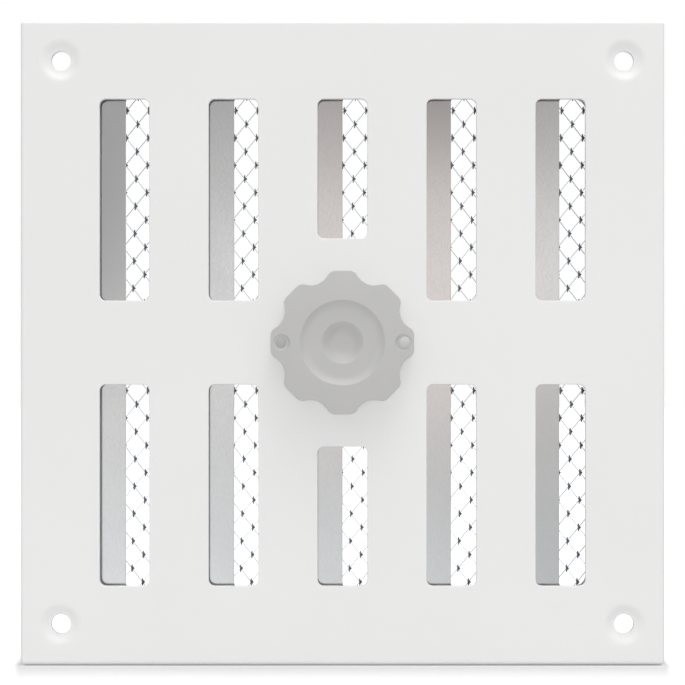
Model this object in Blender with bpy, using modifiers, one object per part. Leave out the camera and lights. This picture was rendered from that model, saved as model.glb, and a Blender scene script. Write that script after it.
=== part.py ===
"""A square slotted air grille: a painted plate, a shutter that slides behind its slots, and a knob for it.

The grille is drawn lying on its back on a bench: X to the right, Y up the plate, Z from the wall to the room,
with Z = 0 on the wall. One parent empty then stands it up, so that the plate faces -Y and +Z is up.
Metres throughout.
"""

import math

import bmesh
import bpy

# Clearances
SEAT_GAP = 0.0003
SLIDE_GAP = 0.0003
CUT_PAST = 0.001

# Front plate: a pan of painted sheet with a folded rim
PLATE_SIDE = 0.165
PLATE_SHEET = 0.001
BEND_RADIUS = 0.001

# Wall screw holes, each in a pressed dimple
SCREW_EDGE_INSET = 0.0103
SCREW_HOLE_RADIUS = 0.0025
DIMPLE_SEAT_BAND = 0.0006
DIMPLE_SLOPE = 0.002
DIMPLE_DEPTH = 0.001

# Slots, in two rows, with the middle column cut short for the knob
SLOT_COLUMNS = 5
SLOT_WIDTH = 0.0127
SLOT_CORNER = 0.002
SLOT_SIDE_MARGIN = 0.02035
SLOT_END_MARGIN = 0.0202
ROW_GAP = 0.0215
MIDDLE_ROW_GAP = 0.0533

# Shutter
SHUTTER_SHEET = 0.0007
SHUTTER_SLOT_EASE = 0.0006
SHUTTER_SLOT_OVERRUN = 0.00105
SHUTTER_END_WEB = 0.0037
SHUTTER_SIDE_WEB = 0.0037
SHUTTER_FAR_LAP = 0.0006
SHUTTER_CORNER = 0.0015

# Guide rails, folded to a channel
RAIL_SHEET = 0.0008
RAIL_SETBACK = 0.0013
RAIL_OVERRUN = 0.002

# Studs, sleeves and nuts that carry the rear frame
STUD_RADIUS = 0.0015
STUD_SPACING = 0.084
STUD_TIP = 0.0003
SLEEVE_WALL = 0.0012
NUT_SIDES = 6
NUT_ACROSS_FLATS = 0.0055
NUT_HEIGHT = 0.0024

# Rear frame and net
FRAME_SHEET = 0.0008
FRAME_SIDE_GAP = 0.0015
FRAME_WINDOW_MARGIN = 0.0012
FRAME_WINDOW_CORNER = 0.003
WALL_SCREW_ACCESS = 0.0062
NET_THICKNESS = 0.0005
NET_LAP = 0.003
NET_BORDER = 0.0025
NET_CORNER = 0.0015
NET_STRAND = 0.0007
NET_COLUMNS = 13
NET_ROWS = 10
REAR_SPACE = 0.0007

# Knob
KNOB_LOBES = 8
KNOB_TIP_RADIUS = 0.0183
KNOB_TIP_HALF_ANGLE = math.radians(10)
KNOB_LOBE_DEPTH = 0.0024
KNOB_WALL = 0.0016
KNOB_FLOAT = 0.0004
KNOB_DISH_RADIUS = 0.0108
KNOB_DISH_SLOPE = 0.0016
KNOB_DISH_DEPTH = 0.0012
KNOB_EYE_RADIUS = 0.0051
KNOB_EYE_SLOPE = 0.0018
KNOB_EYE_DEPTH = 0.0015
KNOB_EYE_WEB = 0.0013
KNOB_SWING = math.radians(40)

# Pins that hold the knob to its drive plate
KNOB_PIN_EDGE = 0.00252
KNOB_PIN_RADIUS = 0.00085
KNOB_PIN_HEAD_RADIUS = 0.0016
KNOB_PIN_HEAD_HEIGHT = 0.0008
KNOB_PIN_HEAD_CLEARANCE = 0.00055
KNOB_PIN_COUNTERBORE_DEPTH = 0.0013
KNOB_PIN_TAIL_LIP = 0.00065
KNOB_PIN_TAIL_HEIGHT = 0.0004

# Drive plate, crank pin and roller
DRIVE_SHEET = 0.0012
DRIVE_EYE_WALL = 0.0006
DRIVE_HUB_WALL = 0.0032
DRIVE_TONGUE_WALL = 0.0011
DRIVE_TONGUE_EDGE = 0.00051
CRANK_PIN_RADIUS = 0.0012
CRANK_PIN_HEAD_HEIGHT = 0.0005
CRANK_PIN_TAIL = 0.0005
ROLLER_WALL = 0.0005
ROLLER_CLEARANCE = 0.00045

# Spindle, bush and what retains them
SPINDLE_RADIUS = 0.002
SPINDLE_HEAD_LIP = 0.002
SPINDLE_HEAD_HEIGHT = 0.0008
SPINDLE_GROOVE_DEPTH = 0.0005
SPINDLE_TIP = 0.0005
BUSH_WALL = 0.0009
BUSH_FLANGE_LIP = 0.0023
BUSH_FLANGE_HEIGHT = 0.0005
BUSH_PAST_SHUTTER = 0.0006
FRICTION_WASHER_LAP = 0.0035
FRICTION_WASHER_HEIGHT = 0.0004
WAVE_WASHER_BAND = 0.0027
WAVE_WASHER_HEIGHT = 0.0004
CLIP_LIP = 0.0022
CLIP_HEIGHT = 0.0005
CLIP_MOUTH_HALF_ANGLE = math.radians(35)

# Smoothness of round shapes
ROUND_STEPS = 24
SMALL_ROUND_STEPS = 16
CORNER_STEPS = 4
SHARP_ANGLE = math.radians(35)
MERGE_DISTANCE = 1e-7

# Places across the plate, worked out from the sizes above
PLATE_HALF = PLATE_SIDE / 2
PAN_HALF = PLATE_HALF - PLATE_SHEET
SCREW_HALF = PLATE_HALF - SCREW_EDGE_INSET
DIMPLE_SEAT_RADIUS = SCREW_HOLE_RADIUS + DIMPLE_SEAT_BAND
SLOT_REACH_X = PLATE_HALF - SLOT_SIDE_MARGIN
SLOT_REACH_Y = PLATE_HALF - SLOT_END_MARGIN
SLOT_PITCH = (2 * SLOT_REACH_X - SLOT_WIDTH) / (SLOT_COLUMNS - 1)
MIDDLE_COLUMN = (SLOT_COLUMNS - 1) / 2
KNOB_VALLEY_RADIUS = KNOB_TIP_RADIUS - KNOB_LOBE_DEPTH
KNOB_POCKET_RADIUS = KNOB_VALLEY_RADIUS - KNOB_WALL
KNOB_PIN_OFFSET = KNOB_TIP_RADIUS * math.cos(KNOB_TIP_HALF_ANGLE) - KNOB_PIN_EDGE
KNOB_PIN_HOLE_RADIUS = KNOB_PIN_RADIUS + SEAT_GAP
DRIVE_ARM_HALF_WIDTH = KNOB_PIN_HOLE_RADIUS + DRIVE_EYE_WALL
CRANK_PIN_HOLE_RADIUS = CRANK_PIN_RADIUS + SEAT_GAP
DRIVE_TONGUE_HALF_WIDTH = CRANK_PIN_HOLE_RADIUS + DRIVE_TONGUE_WALL
CRANK_RADIUS = KNOB_POCKET_RADIUS - SEAT_GAP - DRIVE_TONGUE_EDGE - DRIVE_TONGUE_HALF_WIDTH
TRAVEL = CRANK_RADIUS * math.sin(KNOB_SWING)
ROLLER_RADIUS = CRANK_PIN_HOLE_RADIUS + ROLLER_WALL
YOKE_HALF_WIDTH = ROLLER_RADIUS + ROLLER_CLEARANCE
SPINDLE_HOLE_RADIUS = SPINDLE_RADIUS + SEAT_GAP
SPINDLE_HEAD_RADIUS = SPINDLE_RADIUS + SPINDLE_HEAD_LIP
DRIVE_HUB_RADIUS = SPINDLE_HOLE_RADIUS + DRIVE_HUB_WALL
BUSH_RADIUS = SPINDLE_HOLE_RADIUS + BUSH_WALL
SHUTTER_SLOT_WIDTH = SLOT_WIDTH + 2 * SHUTTER_SLOT_EASE
SHUTTER_HALF_HEIGHT = SLOT_REACH_Y + SHUTTER_END_WEB
SHUTTER_LEFT = -SLOT_REACH_X - TRAVEL - SHUTTER_FAR_LAP
SHUTTER_RIGHT = SLOT_REACH_X - SLOT_WIDTH / 2 + SHUTTER_SLOT_WIDTH + SHUTTER_SIDE_WEB
SHUTTER_WINDOW_HALF_HEIGHT = BUSH_RADIUS + SLIDE_GAP
RAIL_MOUTH = SLOT_REACH_Y + RAIL_SETBACK
RAIL_OUTER = SHUTTER_HALF_HEIGHT + SLIDE_GAP + RAIL_SHEET
RAIL_HALF_LENGTH = SLOT_REACH_X + RAIL_OVERRUN
STUD_X = STUD_SPACING / 2
STUD_Y = (RAIL_OUTER + PAN_HALF) / 2
STUD_HOLE_RADIUS = STUD_RADIUS + SEAT_GAP
FRAME_HALF = PAN_HALF - FRAME_SIDE_GAP
FRAME_WINDOW_X = SLOT_REACH_X + FRAME_WINDOW_MARGIN
FRAME_WINDOW_Y = SLOT_REACH_Y + FRAME_WINDOW_MARGIN

# Heights above the wall, counted from the stud ends forward
NUT_LOW = REAR_SPACE + STUD_TIP
NUT_TOP = NUT_LOW + NUT_HEIGHT
FRAME_LOW = NUT_TOP + SEAT_GAP
FRAME_TOP = FRAME_LOW + FRAME_SHEET
NET_LOW = FRAME_TOP + SEAT_GAP
NET_TOP = NET_LOW + NET_THICKNESS
SPINDLE_LOW = NET_TOP + SEAT_GAP
CLIP_LOW = SPINDLE_LOW + SPINDLE_TIP
CLIP_TOP = CLIP_LOW + CLIP_HEIGHT
WAVE_LOW = CLIP_TOP + SEAT_GAP
WAVE_TOP = WAVE_LOW + WAVE_WASHER_HEIGHT
FRICTION_LOW = WAVE_TOP + SEAT_GAP
FRICTION_TOP = FRICTION_LOW + FRICTION_WASHER_HEIGHT
BUSH_LOW = FRICTION_TOP + SEAT_GAP
SHUTTER_LOW = BUSH_LOW + BUSH_PAST_SHUTTER
SHUTTER_TOP = SHUTTER_LOW + SHUTTER_SHEET
RAIL_TOP = SHUTTER_TOP + SLIDE_GAP + RAIL_SHEET
RAIL_LOW = SHUTTER_LOW - SLIDE_GAP - RAIL_SHEET
SHEET_BACK = RAIL_TOP + SEAT_GAP
SHEET_FRONT = SHEET_BACK + PLATE_SHEET
BUSH_FLANGE_LOW = SHEET_FRONT + SEAT_GAP
BUSH_TOP = BUSH_FLANGE_LOW + BUSH_FLANGE_HEIGHT
DRIVE_LOW = BUSH_TOP + SEAT_GAP
DRIVE_TOP = DRIVE_LOW + DRIVE_SHEET
KNOB_POCKET_TOP = DRIVE_TOP + SEAT_GAP
SPINDLE_HEAD_TOP = KNOB_POCKET_TOP + SPINDLE_HEAD_HEIGHT
KNOB_LOW = SHEET_FRONT + KNOB_FLOAT
KNOB_EYE_FLOOR = SPINDLE_HEAD_TOP + SEAT_GAP + KNOB_EYE_WEB
KNOB_DISH_FLOOR = KNOB_EYE_FLOOR + KNOB_EYE_DEPTH
KNOB_TOP = KNOB_DISH_FLOOR + KNOB_DISH_DEPTH
KNOB_PIN_SEAT = KNOB_TOP - KNOB_PIN_COUNTERBORE_DEPTH
KNOB_PIN_TAIL_TOP = DRIVE_LOW - SEAT_GAP
ROLLER_TOP = DRIVE_LOW - SEAT_GAP
ROLLER_LOW = SHUTTER_LOW - CRANK_PIN_TAIL


def clear_scene():
    for obj in list(bpy.data.objects):
        bpy.data.objects.remove(obj, do_unlink=True)


def new_collection(name):
    collection = bpy.data.collections.new(name)
    bpy.context.scene.collection.children.link(collection)
    return collection


clear_scene()
parts = new_collection("slotted_air_grille")
cutters = new_collection("cutters")


def new_empty(name, parent=None):
    empty = bpy.data.objects.new(name, None)
    empty.empty_display_size = PLATE_HALF
    empty.parent = parent
    parts.objects.link(empty)
    return empty


grille_stand = new_empty("grille_stand")
grille_stand.rotation_euler = (math.radians(90), 0, 0)
shutter_runner = new_empty("shutter_runner", grille_stand)
knob_axis = new_empty("knob_axis", grille_stand)


def new_material(name, colour, roughness, metallic):
    material = bpy.data.materials.new(name)
    material.use_nodes = True
    shader = material.node_tree.nodes["Principled BSDF"]
    shader.inputs["Base Color"].default_value = (*colour, 1)
    shader.inputs["Roughness"].default_value = roughness
    shader.inputs["Metallic"].default_value = metallic
    return material


white_paint = new_material("white_paint", (0.80, 0.80, 0.79), 0.35, 0)
grey_plastic = new_material("grey_plastic", (0.53, 0.53, 0.52), 0.5, 0)
pin_plastic = new_material("pin_plastic", (0.50, 0.50, 0.49), 0.45, 0)
bush_plastic = new_material("bush_plastic", (0.75, 0.74, 0.70), 0.5, 0)
fibre = new_material("fibre", (0.35, 0.16, 0.10), 0.8, 0)
galvanised = new_material("galvanised", (0.60, 0.60, 0.60), 0.35, 1)
zinc_plate = new_material("zinc_plate", (0.62, 0.62, 0.60), 0.3, 1)
spring_steel = new_material("spring_steel", (0.35, 0.35, 0.36), 0.35, 1)
net_metal = new_material("net_metal", (0.72, 0.76, 0.80), 0.35, 1)


def add_object(name, mesh, material=None, parent=grille_stand):
    """A part when it has a material, and otherwise a hidden cutter."""
    obj = bpy.data.objects.new(name, mesh)
    obj.parent = parent
    if material is None:
        cutters.objects.link(obj)
        obj.hide_render = True
        obj.display_type = "WIRE"
    else:
        parts.objects.link(obj)
        mesh.materials.append(material)
        mesh.shade_smooth()
        mesh.set_sharp_from_angle(angle=SHARP_ANGLE)
    return obj


def arc(centre, radius, start, end, steps):
    """Points along an arc, ends included, angles in radians."""
    turn = (end - start) / steps
    angles = [start + turn * step for step in range(steps + 1)]
    return [(centre[0] + radius * math.cos(a), centre[1] + radius * math.sin(a)) for a in angles]


def circle(centre, radius, steps=ROUND_STEPS):
    return arc(centre, radius, 0, 2 * math.pi, steps)[:-1]


def rounded_box(left, right, bottom, top, radius):
    """The outline of a rectangle with round corners."""
    quarter = math.pi / 2
    corners = [
        (right - radius, top - radius),
        (left + radius, top - radius),
        (left + radius, bottom + radius),
        (right - radius, bottom + radius),
    ]
    points = []
    for turn, corner in enumerate(corners):
        points += arc(corner, radius, turn * quarter, (turn + 1) * quarter, CORNER_STEPS)
    return points


def stadium(start, end, half_width, steps=SMALL_ROUND_STEPS // 2):
    """The outline of a bar with round ends."""
    heading = math.atan2(end[1] - start[1], end[0] - start[0])
    quarter = math.pi / 2
    far_end = arc(end, half_width, heading - quarter, heading + quarter, steps)
    near_end = arc(start, half_width, heading + quarter, heading + 3 * quarter, steps)
    return far_end + near_end


def outline_mesh(name, loops, low, high):
    """A flat plate from closed outlines: the first is its edge, and the others inside it are holes."""
    curve = bpy.data.curves.new(name, "CURVE")
    curve.dimensions = "2D"
    curve.fill_mode = "BOTH"
    curve.extrude = (high - low) / 2
    for loop in loops:
        spline = curve.splines.new("POLY")
        spline.points.add(len(loop) - 1)
        spline.use_cyclic_u = True
        for point, (x, y) in zip(spline.points, loop):
            point.co = (x, y, 0, 1)
    drawn = bpy.data.objects.new(name + "_outline", curve)
    bpy.context.scene.collection.objects.link(drawn)
    mesh = realise(drawn, name)
    shape = bmesh.new()
    shape.from_mesh(mesh)
    bmesh.ops.remove_doubles(shape, verts=shape.verts, dist=MERGE_DISTANCE)
    bmesh.ops.translate(shape, verts=shape.verts, vec=(0, 0, (low + high) / 2))
    bmesh.ops.recalc_face_normals(shape, faces=shape.faces)
    shape.to_mesh(mesh)
    shape.free()
    return mesh


def turned_mesh(name, profile, steps):
    """A solid of revolution. The profile is (radius, height) points down the outer side, from the top."""
    points = [(radius, 0, height) for radius, height in profile]
    edges = [(i, i + 1) for i in range(len(points) - 1)]
    if profile[0][0] > 0:
        edges.append((len(points) - 1, 0))
    outline = bpy.data.meshes.new(name + "_profile")
    outline.from_pydata(points, edges, [])
    drawn = bpy.data.objects.new(name + "_profile", outline)
    bpy.context.scene.collection.objects.link(drawn)
    screw = drawn.modifiers.new("turn", "SCREW")
    screw.steps = steps
    screw.render_steps = steps
    screw.use_merge_vertices = True
    screw.merge_threshold = MERGE_DISTANCE
    return realise(drawn, name)


def realise(drawn, name):
    """The mesh that a curve or a modifier makes, in place of the object that was drawn."""
    graph = bpy.context.evaluated_depsgraph_get()
    mesh = bpy.data.meshes.new_from_object(drawn.evaluated_get(graph))
    mesh.name = name
    bpy.data.objects.remove(drawn, do_unlink=True)
    return mesh


def turned(name, profile, material=None, parent=grille_stand, at=(0, 0), steps=ROUND_STEPS):
    obj = add_object(name, turned_mesh(name, profile, steps), material, parent)
    obj.location = (*at, 0)
    return obj


def ring_profile(bore, radius, low, high):
    return [(bore, high), (radius, high), (radius, low), (bore, low)]


def rod_profile(radius, low, high):
    return [(0, high), (radius, high), (radius, low), (0, low)]


def cut(obj, cutter, operation="DIFFERENCE"):
    boolean = obj.modifiers.new(cutter.name, "BOOLEAN")
    boolean.operation = operation
    boolean.object = cutter
    return obj


def cut_together(obj, name, tools, operation):
    """One Boolean with several cutters, kept in a collection of their own."""
    group = bpy.data.collections.new(name)
    cutters.children.link(group)
    for tool in tools:
        cutters.objects.unlink(tool)
        group.objects.link(tool)
    boolean = obj.modifiers.new(name, "BOOLEAN")
    boolean.operation = operation
    boolean.operand_type = "COLLECTION"
    boolean.collection = group
    return obj


def slot_spans():
    """Left, right, bottom and top of each slot in the front plate, column by column."""
    spans = []
    for column in range(SLOT_COLUMNS):
        centre = (column - MIDDLE_COLUMN) * SLOT_PITCH
        gap = MIDDLE_ROW_GAP if column == MIDDLE_COLUMN else ROW_GAP
        left, right = centre - SLOT_WIDTH / 2, centre + SLOT_WIDTH / 2
        spans.append((left, right, gap / 2, SLOT_REACH_Y))
        spans.append((left, right, -SLOT_REACH_Y, -gap / 2))
    return spans


def crank_slot(half_width, swing):
    """The curved slot that the crank pin sweeps, about 12 o'clock."""
    top = math.pi / 2
    outer = arc((0, 0), CRANK_RADIUS + half_width, top - swing, top + swing, ROUND_STEPS // 2)
    inner = arc((0, 0), CRANK_RADIUS - half_width, top + swing, top - swing, ROUND_STEPS // 2)
    left_end = (CRANK_RADIUS * math.cos(top + swing), CRANK_RADIUS * math.sin(top + swing))
    right_end = (CRANK_RADIUS * math.cos(top - swing), CRANK_RADIUS * math.sin(top - swing))
    left_cap = arc(left_end, half_width, top + swing, top + swing + math.pi, CORNER_STEPS * 2)
    right_cap = arc(right_end, half_width, top - swing - math.pi, top - swing, CORNER_STEPS * 2)
    return outer + left_cap[1:-1] + inner + right_cap[1:-1]


def box_mesh(name, half, low, high):
    """A square block, half as wide as it measures from the middle to a side."""
    mesh = bpy.data.meshes.new(name)
    shape = bmesh.new()
    bmesh.ops.create_cube(shape, size=1)
    bmesh.ops.scale(shape, verts=shape.verts, vec=(2 * half, 2 * half, high - low))
    bmesh.ops.translate(shape, verts=shape.verts, vec=(0, 0, (low + high) / 2))
    shape.to_mesh(mesh)
    shape.free()
    return mesh


def round_front_edges(mesh):
    """The bends of the rim and its four corners, rounded alike."""
    shape = bmesh.new()
    shape.from_mesh(mesh)
    bent = [edge for edge in shape.edges if any(vert.co.z > SHEET_BACK for vert in edge.verts)]
    bmesh.ops.bevel(shape, geom=bent, offset=BEND_RADIUS, segments=CORNER_STEPS, profile=0.5, affect="EDGES")
    shape.to_mesh(mesh)
    shape.free()


def screw_places():
    return [(x, y) for y in (-SCREW_HALF, SCREW_HALF) for x in (-SCREW_HALF, SCREW_HALF)]


def dimple_tools(name, place):
    """What presses a wall screw's dimple: the sheet's swell behind it, and its dish and hole."""
    spread = DIMPLE_SLOPE / DIMPLE_DEPTH
    seat, back = SHEET_FRONT - DIMPLE_DEPTH, SHEET_BACK - DIMPLE_DEPTH
    rooted, above, below = SHEET_BACK + PLATE_SHEET / 2, SHEET_FRONT + CUT_PAST, back - CUT_PAST
    back_radius = DIMPLE_SEAT_RADIUS + PLATE_SHEET
    swell = [(0, rooted), (back_radius + spread * (rooted - back), rooted), (back_radius, back), (0, back)]
    dish = [
        (0, above),
        (DIMPLE_SEAT_RADIUS + spread * (above - seat), above),
        (DIMPLE_SEAT_RADIUS, seat),
        (SCREW_HOLE_RADIUS, seat),
        (SCREW_HOLE_RADIUS, below),
        (0, below),
    ]
    return turned(f"dimple_swell_{name}", swell, at=place), turned(f"dimple_dish_{name}", dish, at=place)


def make_front_plate():
    mesh = box_mesh("front_plate", PLATE_HALF, 0, SHEET_FRONT)
    round_front_edges(mesh)
    plate = add_object("front_plate", mesh, white_paint)
    pan = box_mesh("pan_inside", PAN_HALF, -CUT_PAST, SHEET_BACK)
    cut(plate, add_object("pan_inside", pan))
    swells, dishes = zip(*[dimple_tools(number, place) for number, place in enumerate(screw_places())])
    cut_together(plate, "dimple_swells", swells, "UNION")
    openings = [rounded_box(*span, SLOT_CORNER) for span in slot_spans()]
    openings.append(crank_slot(YOKE_HALF_WIDTH, KNOB_SWING))
    openings.append(circle((0, 0), BUSH_RADIUS + SEAT_GAP))
    sheet_cut = outline_mesh("sheet_openings", openings, SHEET_BACK - CUT_PAST, SHEET_FRONT + CUT_PAST)
    cut_together(plate, "front_openings", [*dishes, add_object("sheet_openings", sheet_cut)], "DIFFERENCE")
    return plate


def make_shutter():
    top, bottom = SHUTTER_HALF_HEIGHT, -SHUTTER_HALF_HEIGHT
    loops = [rounded_box(SHUTTER_LEFT, SHUTTER_RIGHT, bottom, top, SHUTTER_CORNER)]
    for left, right, slot_low, slot_high in slot_spans():
        start = (left + right) / 2
        low, high = slot_low - SHUTTER_SLOT_OVERRUN, slot_high + SHUTTER_SLOT_OVERRUN
        loops.append(rounded_box(start, start + SHUTTER_SLOT_WIDTH, low, high, SLOT_CORNER))
    window_run = TRAVEL + SLIDE_GAP
    loops.append(stadium((-window_run, 0), (window_run, 0), SHUTTER_WINDOW_HALF_HEIGHT))
    yoke_low = CRANK_RADIUS * math.cos(KNOB_SWING)
    loops.append(stadium((0, yoke_low), (0, CRANK_RADIUS), YOKE_HALF_WIDTH))
    mesh = outline_mesh("shutter_plate", loops, SHUTTER_LOW, SHUTTER_TOP)
    return add_object("shutter_plate", mesh, galvanised, shutter_runner)


def make_guide_rail(name, side):
    """A channel that opens towards the middle of the plate, drawn by its section and drawn out along X."""
    groove = SHUTTER_HALF_HEIGHT + SLIDE_GAP
    section = [
        (RAIL_MOUTH, RAIL_LOW),
        (RAIL_OUTER, RAIL_LOW),
        (RAIL_OUTER, RAIL_TOP),
        (RAIL_MOUTH, RAIL_TOP),
        (RAIL_MOUTH, RAIL_TOP - RAIL_SHEET),
        (groove, RAIL_TOP - RAIL_SHEET),
        (groove, RAIL_LOW + RAIL_SHEET),
        (RAIL_MOUTH, RAIL_LOW + RAIL_SHEET),
    ]
    section = [(side * y, z) for y, z in section]
    mesh = outline_mesh(name, [section], -RAIL_HALF_LENGTH, RAIL_HALF_LENGTH)
    rail = add_object(name, mesh, galvanised)
    rail.rotation_euler = (math.radians(90), 0, math.radians(90))
    return rail


def make_stud_sets():
    """On each stud: the sleeve that spaces the rear frame off the plate, and the nut that holds it."""
    sleeve_radius = STUD_HOLE_RADIUS + SLEEVE_WALL
    nut_corner = NUT_ACROSS_FLATS / 2 / math.cos(math.pi / NUT_SIDES)
    for row, side_y in (("upper", 1), ("lower", -1)):
        for end, side_x in (("left", -1), ("right", 1)):
            place = (side_x * STUD_X, side_y * STUD_Y)
            stud = rod_profile(STUD_RADIUS, REAR_SPACE, SHEET_BACK - SEAT_GAP)
            turned(f"weld_stud_{row}_{end}", stud, zinc_plate, at=place, steps=SMALL_ROUND_STEPS)
            sleeve = ring_profile(STUD_HOLE_RADIUS, sleeve_radius, NET_LOW, SHEET_BACK - SEAT_GAP)
            turned(f"spacer_sleeve_{row}_{end}", sleeve, zinc_plate, at=place, steps=SMALL_ROUND_STEPS)
            hexagon = circle(place, nut_corner, NUT_SIDES)
            bore = circle(place, STUD_HOLE_RADIUS, SMALL_ROUND_STEPS)
            nut = outline_mesh("stud_nut", [hexagon, bore], NUT_LOW, NUT_TOP)
            add_object(f"stud_nut_{row}_{end}", nut, zinc_plate)


def make_mesh_frame():
    """A flat frame whose corners are cut away, clear of the wall screws."""
    corner_cut = 2 * (FRAME_HALF - SCREW_HALF) + math.sqrt(2) * WALL_SCREW_ACCESS
    short = FRAME_HALF - corner_cut
    edge = [(FRAME_HALF, short), (short, FRAME_HALF), (-short, FRAME_HALF), (-FRAME_HALF, short)]
    edge += [(-x, -y) for x, y in edge]
    right, top = FRAME_WINDOW_X, FRAME_WINDOW_Y
    loops = [edge, rounded_box(-right, right, -top, top, FRAME_WINDOW_CORNER)]
    for x in (-STUD_X, STUD_X):
        for y in (-STUD_Y, STUD_Y):
            loops.append(circle((x, y), STUD_HOLE_RADIUS, SMALL_ROUND_STEPS))
    return add_object("mesh_frame", outline_mesh("mesh_frame", loops, FRAME_LOW, FRAME_TOP), galvanised)


def make_insect_mesh():
    """A diamond net: a lattice of diamonds trimmed to its border, each inset to leave its strands."""
    half_x = FRAME_WINDOW_X + NET_LAP
    half_y = FRAME_WINDOW_Y + NET_LAP
    field_x, field_y = half_x - NET_BORDER, half_y - NET_BORDER
    step_x, step_y = 2 * field_x / NET_COLUMNS, 2 * field_y / NET_ROWS
    loops = [rounded_box(-half_x, half_x, -half_y, half_y, NET_CORNER)]
    reach_x, reach_y = field_x - NET_STRAND / 2, field_y - NET_STRAND / 2
    slant = math.hypot(step_x, step_y)
    inset_x, inset_y = NET_STRAND / 2 * slant / step_y, NET_STRAND / 2 * slant / step_x
    for row in range(2 * NET_ROWS + 1):
        for column in range(row % 2, 2 * NET_COLUMNS + 1, 2):
            centre = (column * step_x / 2 - field_x, row * step_y / 2 - field_y)
            diamond = diamond_outline(centre, step_x / 2 - inset_x, step_y / 2 - inset_y)
            loops.append(trim(diamond, reach_x, reach_y))
    mesh = outline_mesh("insect_mesh", loops, NET_LOW, NET_TOP)
    return add_object("insect_mesh", mesh, net_metal)


def diamond_outline(centre, half_x, half_y):
    x, y = centre
    return [(x + half_x, y), (x, y + half_y), (x - half_x, y), (x, y - half_y)]


def trim(outline, reach_x, reach_y):
    """The part of a convex outline inside the net's field."""
    for axis, sign, reach in ((0, 1, reach_x), (0, -1, reach_x), (1, 1, reach_y), (1, -1, reach_y)):
        kept = []
        for here, after in zip(outline, outline[1:] + outline[:1]):
            over, next_over = sign * here[axis] - reach, sign * after[axis] - reach
            if over <= 0:
                kept.append(here)
            if over * next_over < 0:
                share = over / (over - next_over)
                kept.append(tuple(a + share * (b - a) for a, b in zip(here, after)))
        outline = kept
    return outline


def knob_outline():
    """Eight lobes with straight tips, joined by hollow arcs that reach in to the valley radius."""
    spacing = 2 * math.pi / KNOB_LOBES
    hollow_half = spacing / 2 - KNOB_TIP_HALF_ANGLE
    rise = KNOB_TIP_RADIUS**2 - KNOB_VALLEY_RADIUS**2
    hollow_centre = rise / 2 / (KNOB_TIP_RADIUS * math.cos(hollow_half) - KNOB_VALLEY_RADIUS)
    hollow_radius = hollow_centre - KNOB_VALLEY_RADIUS
    sweep = math.asin(KNOB_TIP_RADIUS * math.sin(hollow_half) / hollow_radius)
    points = []
    for lobe in range(KNOB_LOBES):
        middle = (lobe + 0.5) * spacing
        centre = (hollow_centre * math.cos(middle), hollow_centre * math.sin(middle))
        inward = middle + math.pi
        points += arc(centre, hollow_radius, inward + sweep, inward - sweep, 2 * CORNER_STEPS)
    return points


def make_knob():
    mesh = outline_mesh("control_knob", [knob_outline()], KNOB_LOW, KNOB_TOP)
    knob = add_object("control_knob", mesh, grey_plastic, knob_axis)
    dish_spread = KNOB_DISH_SLOPE / KNOB_DISH_DEPTH
    dish = [
        (0, KNOB_TOP + CUT_PAST),
        (KNOB_DISH_RADIUS + dish_spread * CUT_PAST, KNOB_TOP + CUT_PAST),
        (KNOB_DISH_RADIUS - KNOB_DISH_SLOPE, KNOB_DISH_FLOOR),
        (KNOB_EYE_RADIUS, KNOB_DISH_FLOOR),
        (KNOB_EYE_RADIUS - KNOB_EYE_SLOPE, KNOB_EYE_FLOOR),
        (0, KNOB_EYE_FLOOR),
    ]
    cut(knob, turned("knob_dish", dish, parent=knob_axis))
    pocket = [
        (0, SPINDLE_HEAD_TOP + SEAT_GAP),
        (SPINDLE_HEAD_RADIUS + SEAT_GAP, SPINDLE_HEAD_TOP + SEAT_GAP),
        (SPINDLE_HEAD_RADIUS + SEAT_GAP, KNOB_POCKET_TOP),
        (KNOB_POCKET_RADIUS, KNOB_POCKET_TOP),
        (KNOB_POCKET_RADIUS, KNOB_LOW - CUT_PAST),
        (0, KNOB_LOW - CUT_PAST),
    ]
    cut(knob, turned("knob_pocket", pocket, parent=knob_axis))
    arms = stadium((-KNOB_PIN_OFFSET, 0), (KNOB_PIN_OFFSET, 0), DRIVE_ARM_HALF_WIDTH + SEAT_GAP)
    arm_pocket = outline_mesh("knob_arm_pocket", [arms], KNOB_LOW - CUT_PAST, KNOB_POCKET_TOP)
    cut(knob, add_object("knob_arm_pocket", arm_pocket, parent=knob_axis))
    for end, side in (("left", -1), ("right", 1)):
        place = (side * KNOB_PIN_OFFSET, 0)
        sunk = KNOB_PIN_HEAD_RADIUS + KNOB_PIN_HEAD_CLEARANCE
        bore = [
            (0, KNOB_TOP + CUT_PAST),
            (sunk, KNOB_TOP + CUT_PAST),
            (sunk, KNOB_PIN_SEAT),
            (KNOB_PIN_HOLE_RADIUS, KNOB_PIN_SEAT),
            (KNOB_PIN_HOLE_RADIUS, KNOB_POCKET_TOP - CUT_PAST),
            (0, KNOB_POCKET_TOP - CUT_PAST),
        ]
        tool = turned(f"knob_pin_bore_{end}", bore, parent=knob_axis, at=place, steps=SMALL_ROUND_STEPS)
        cut(knob, tool)
    return knob


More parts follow.
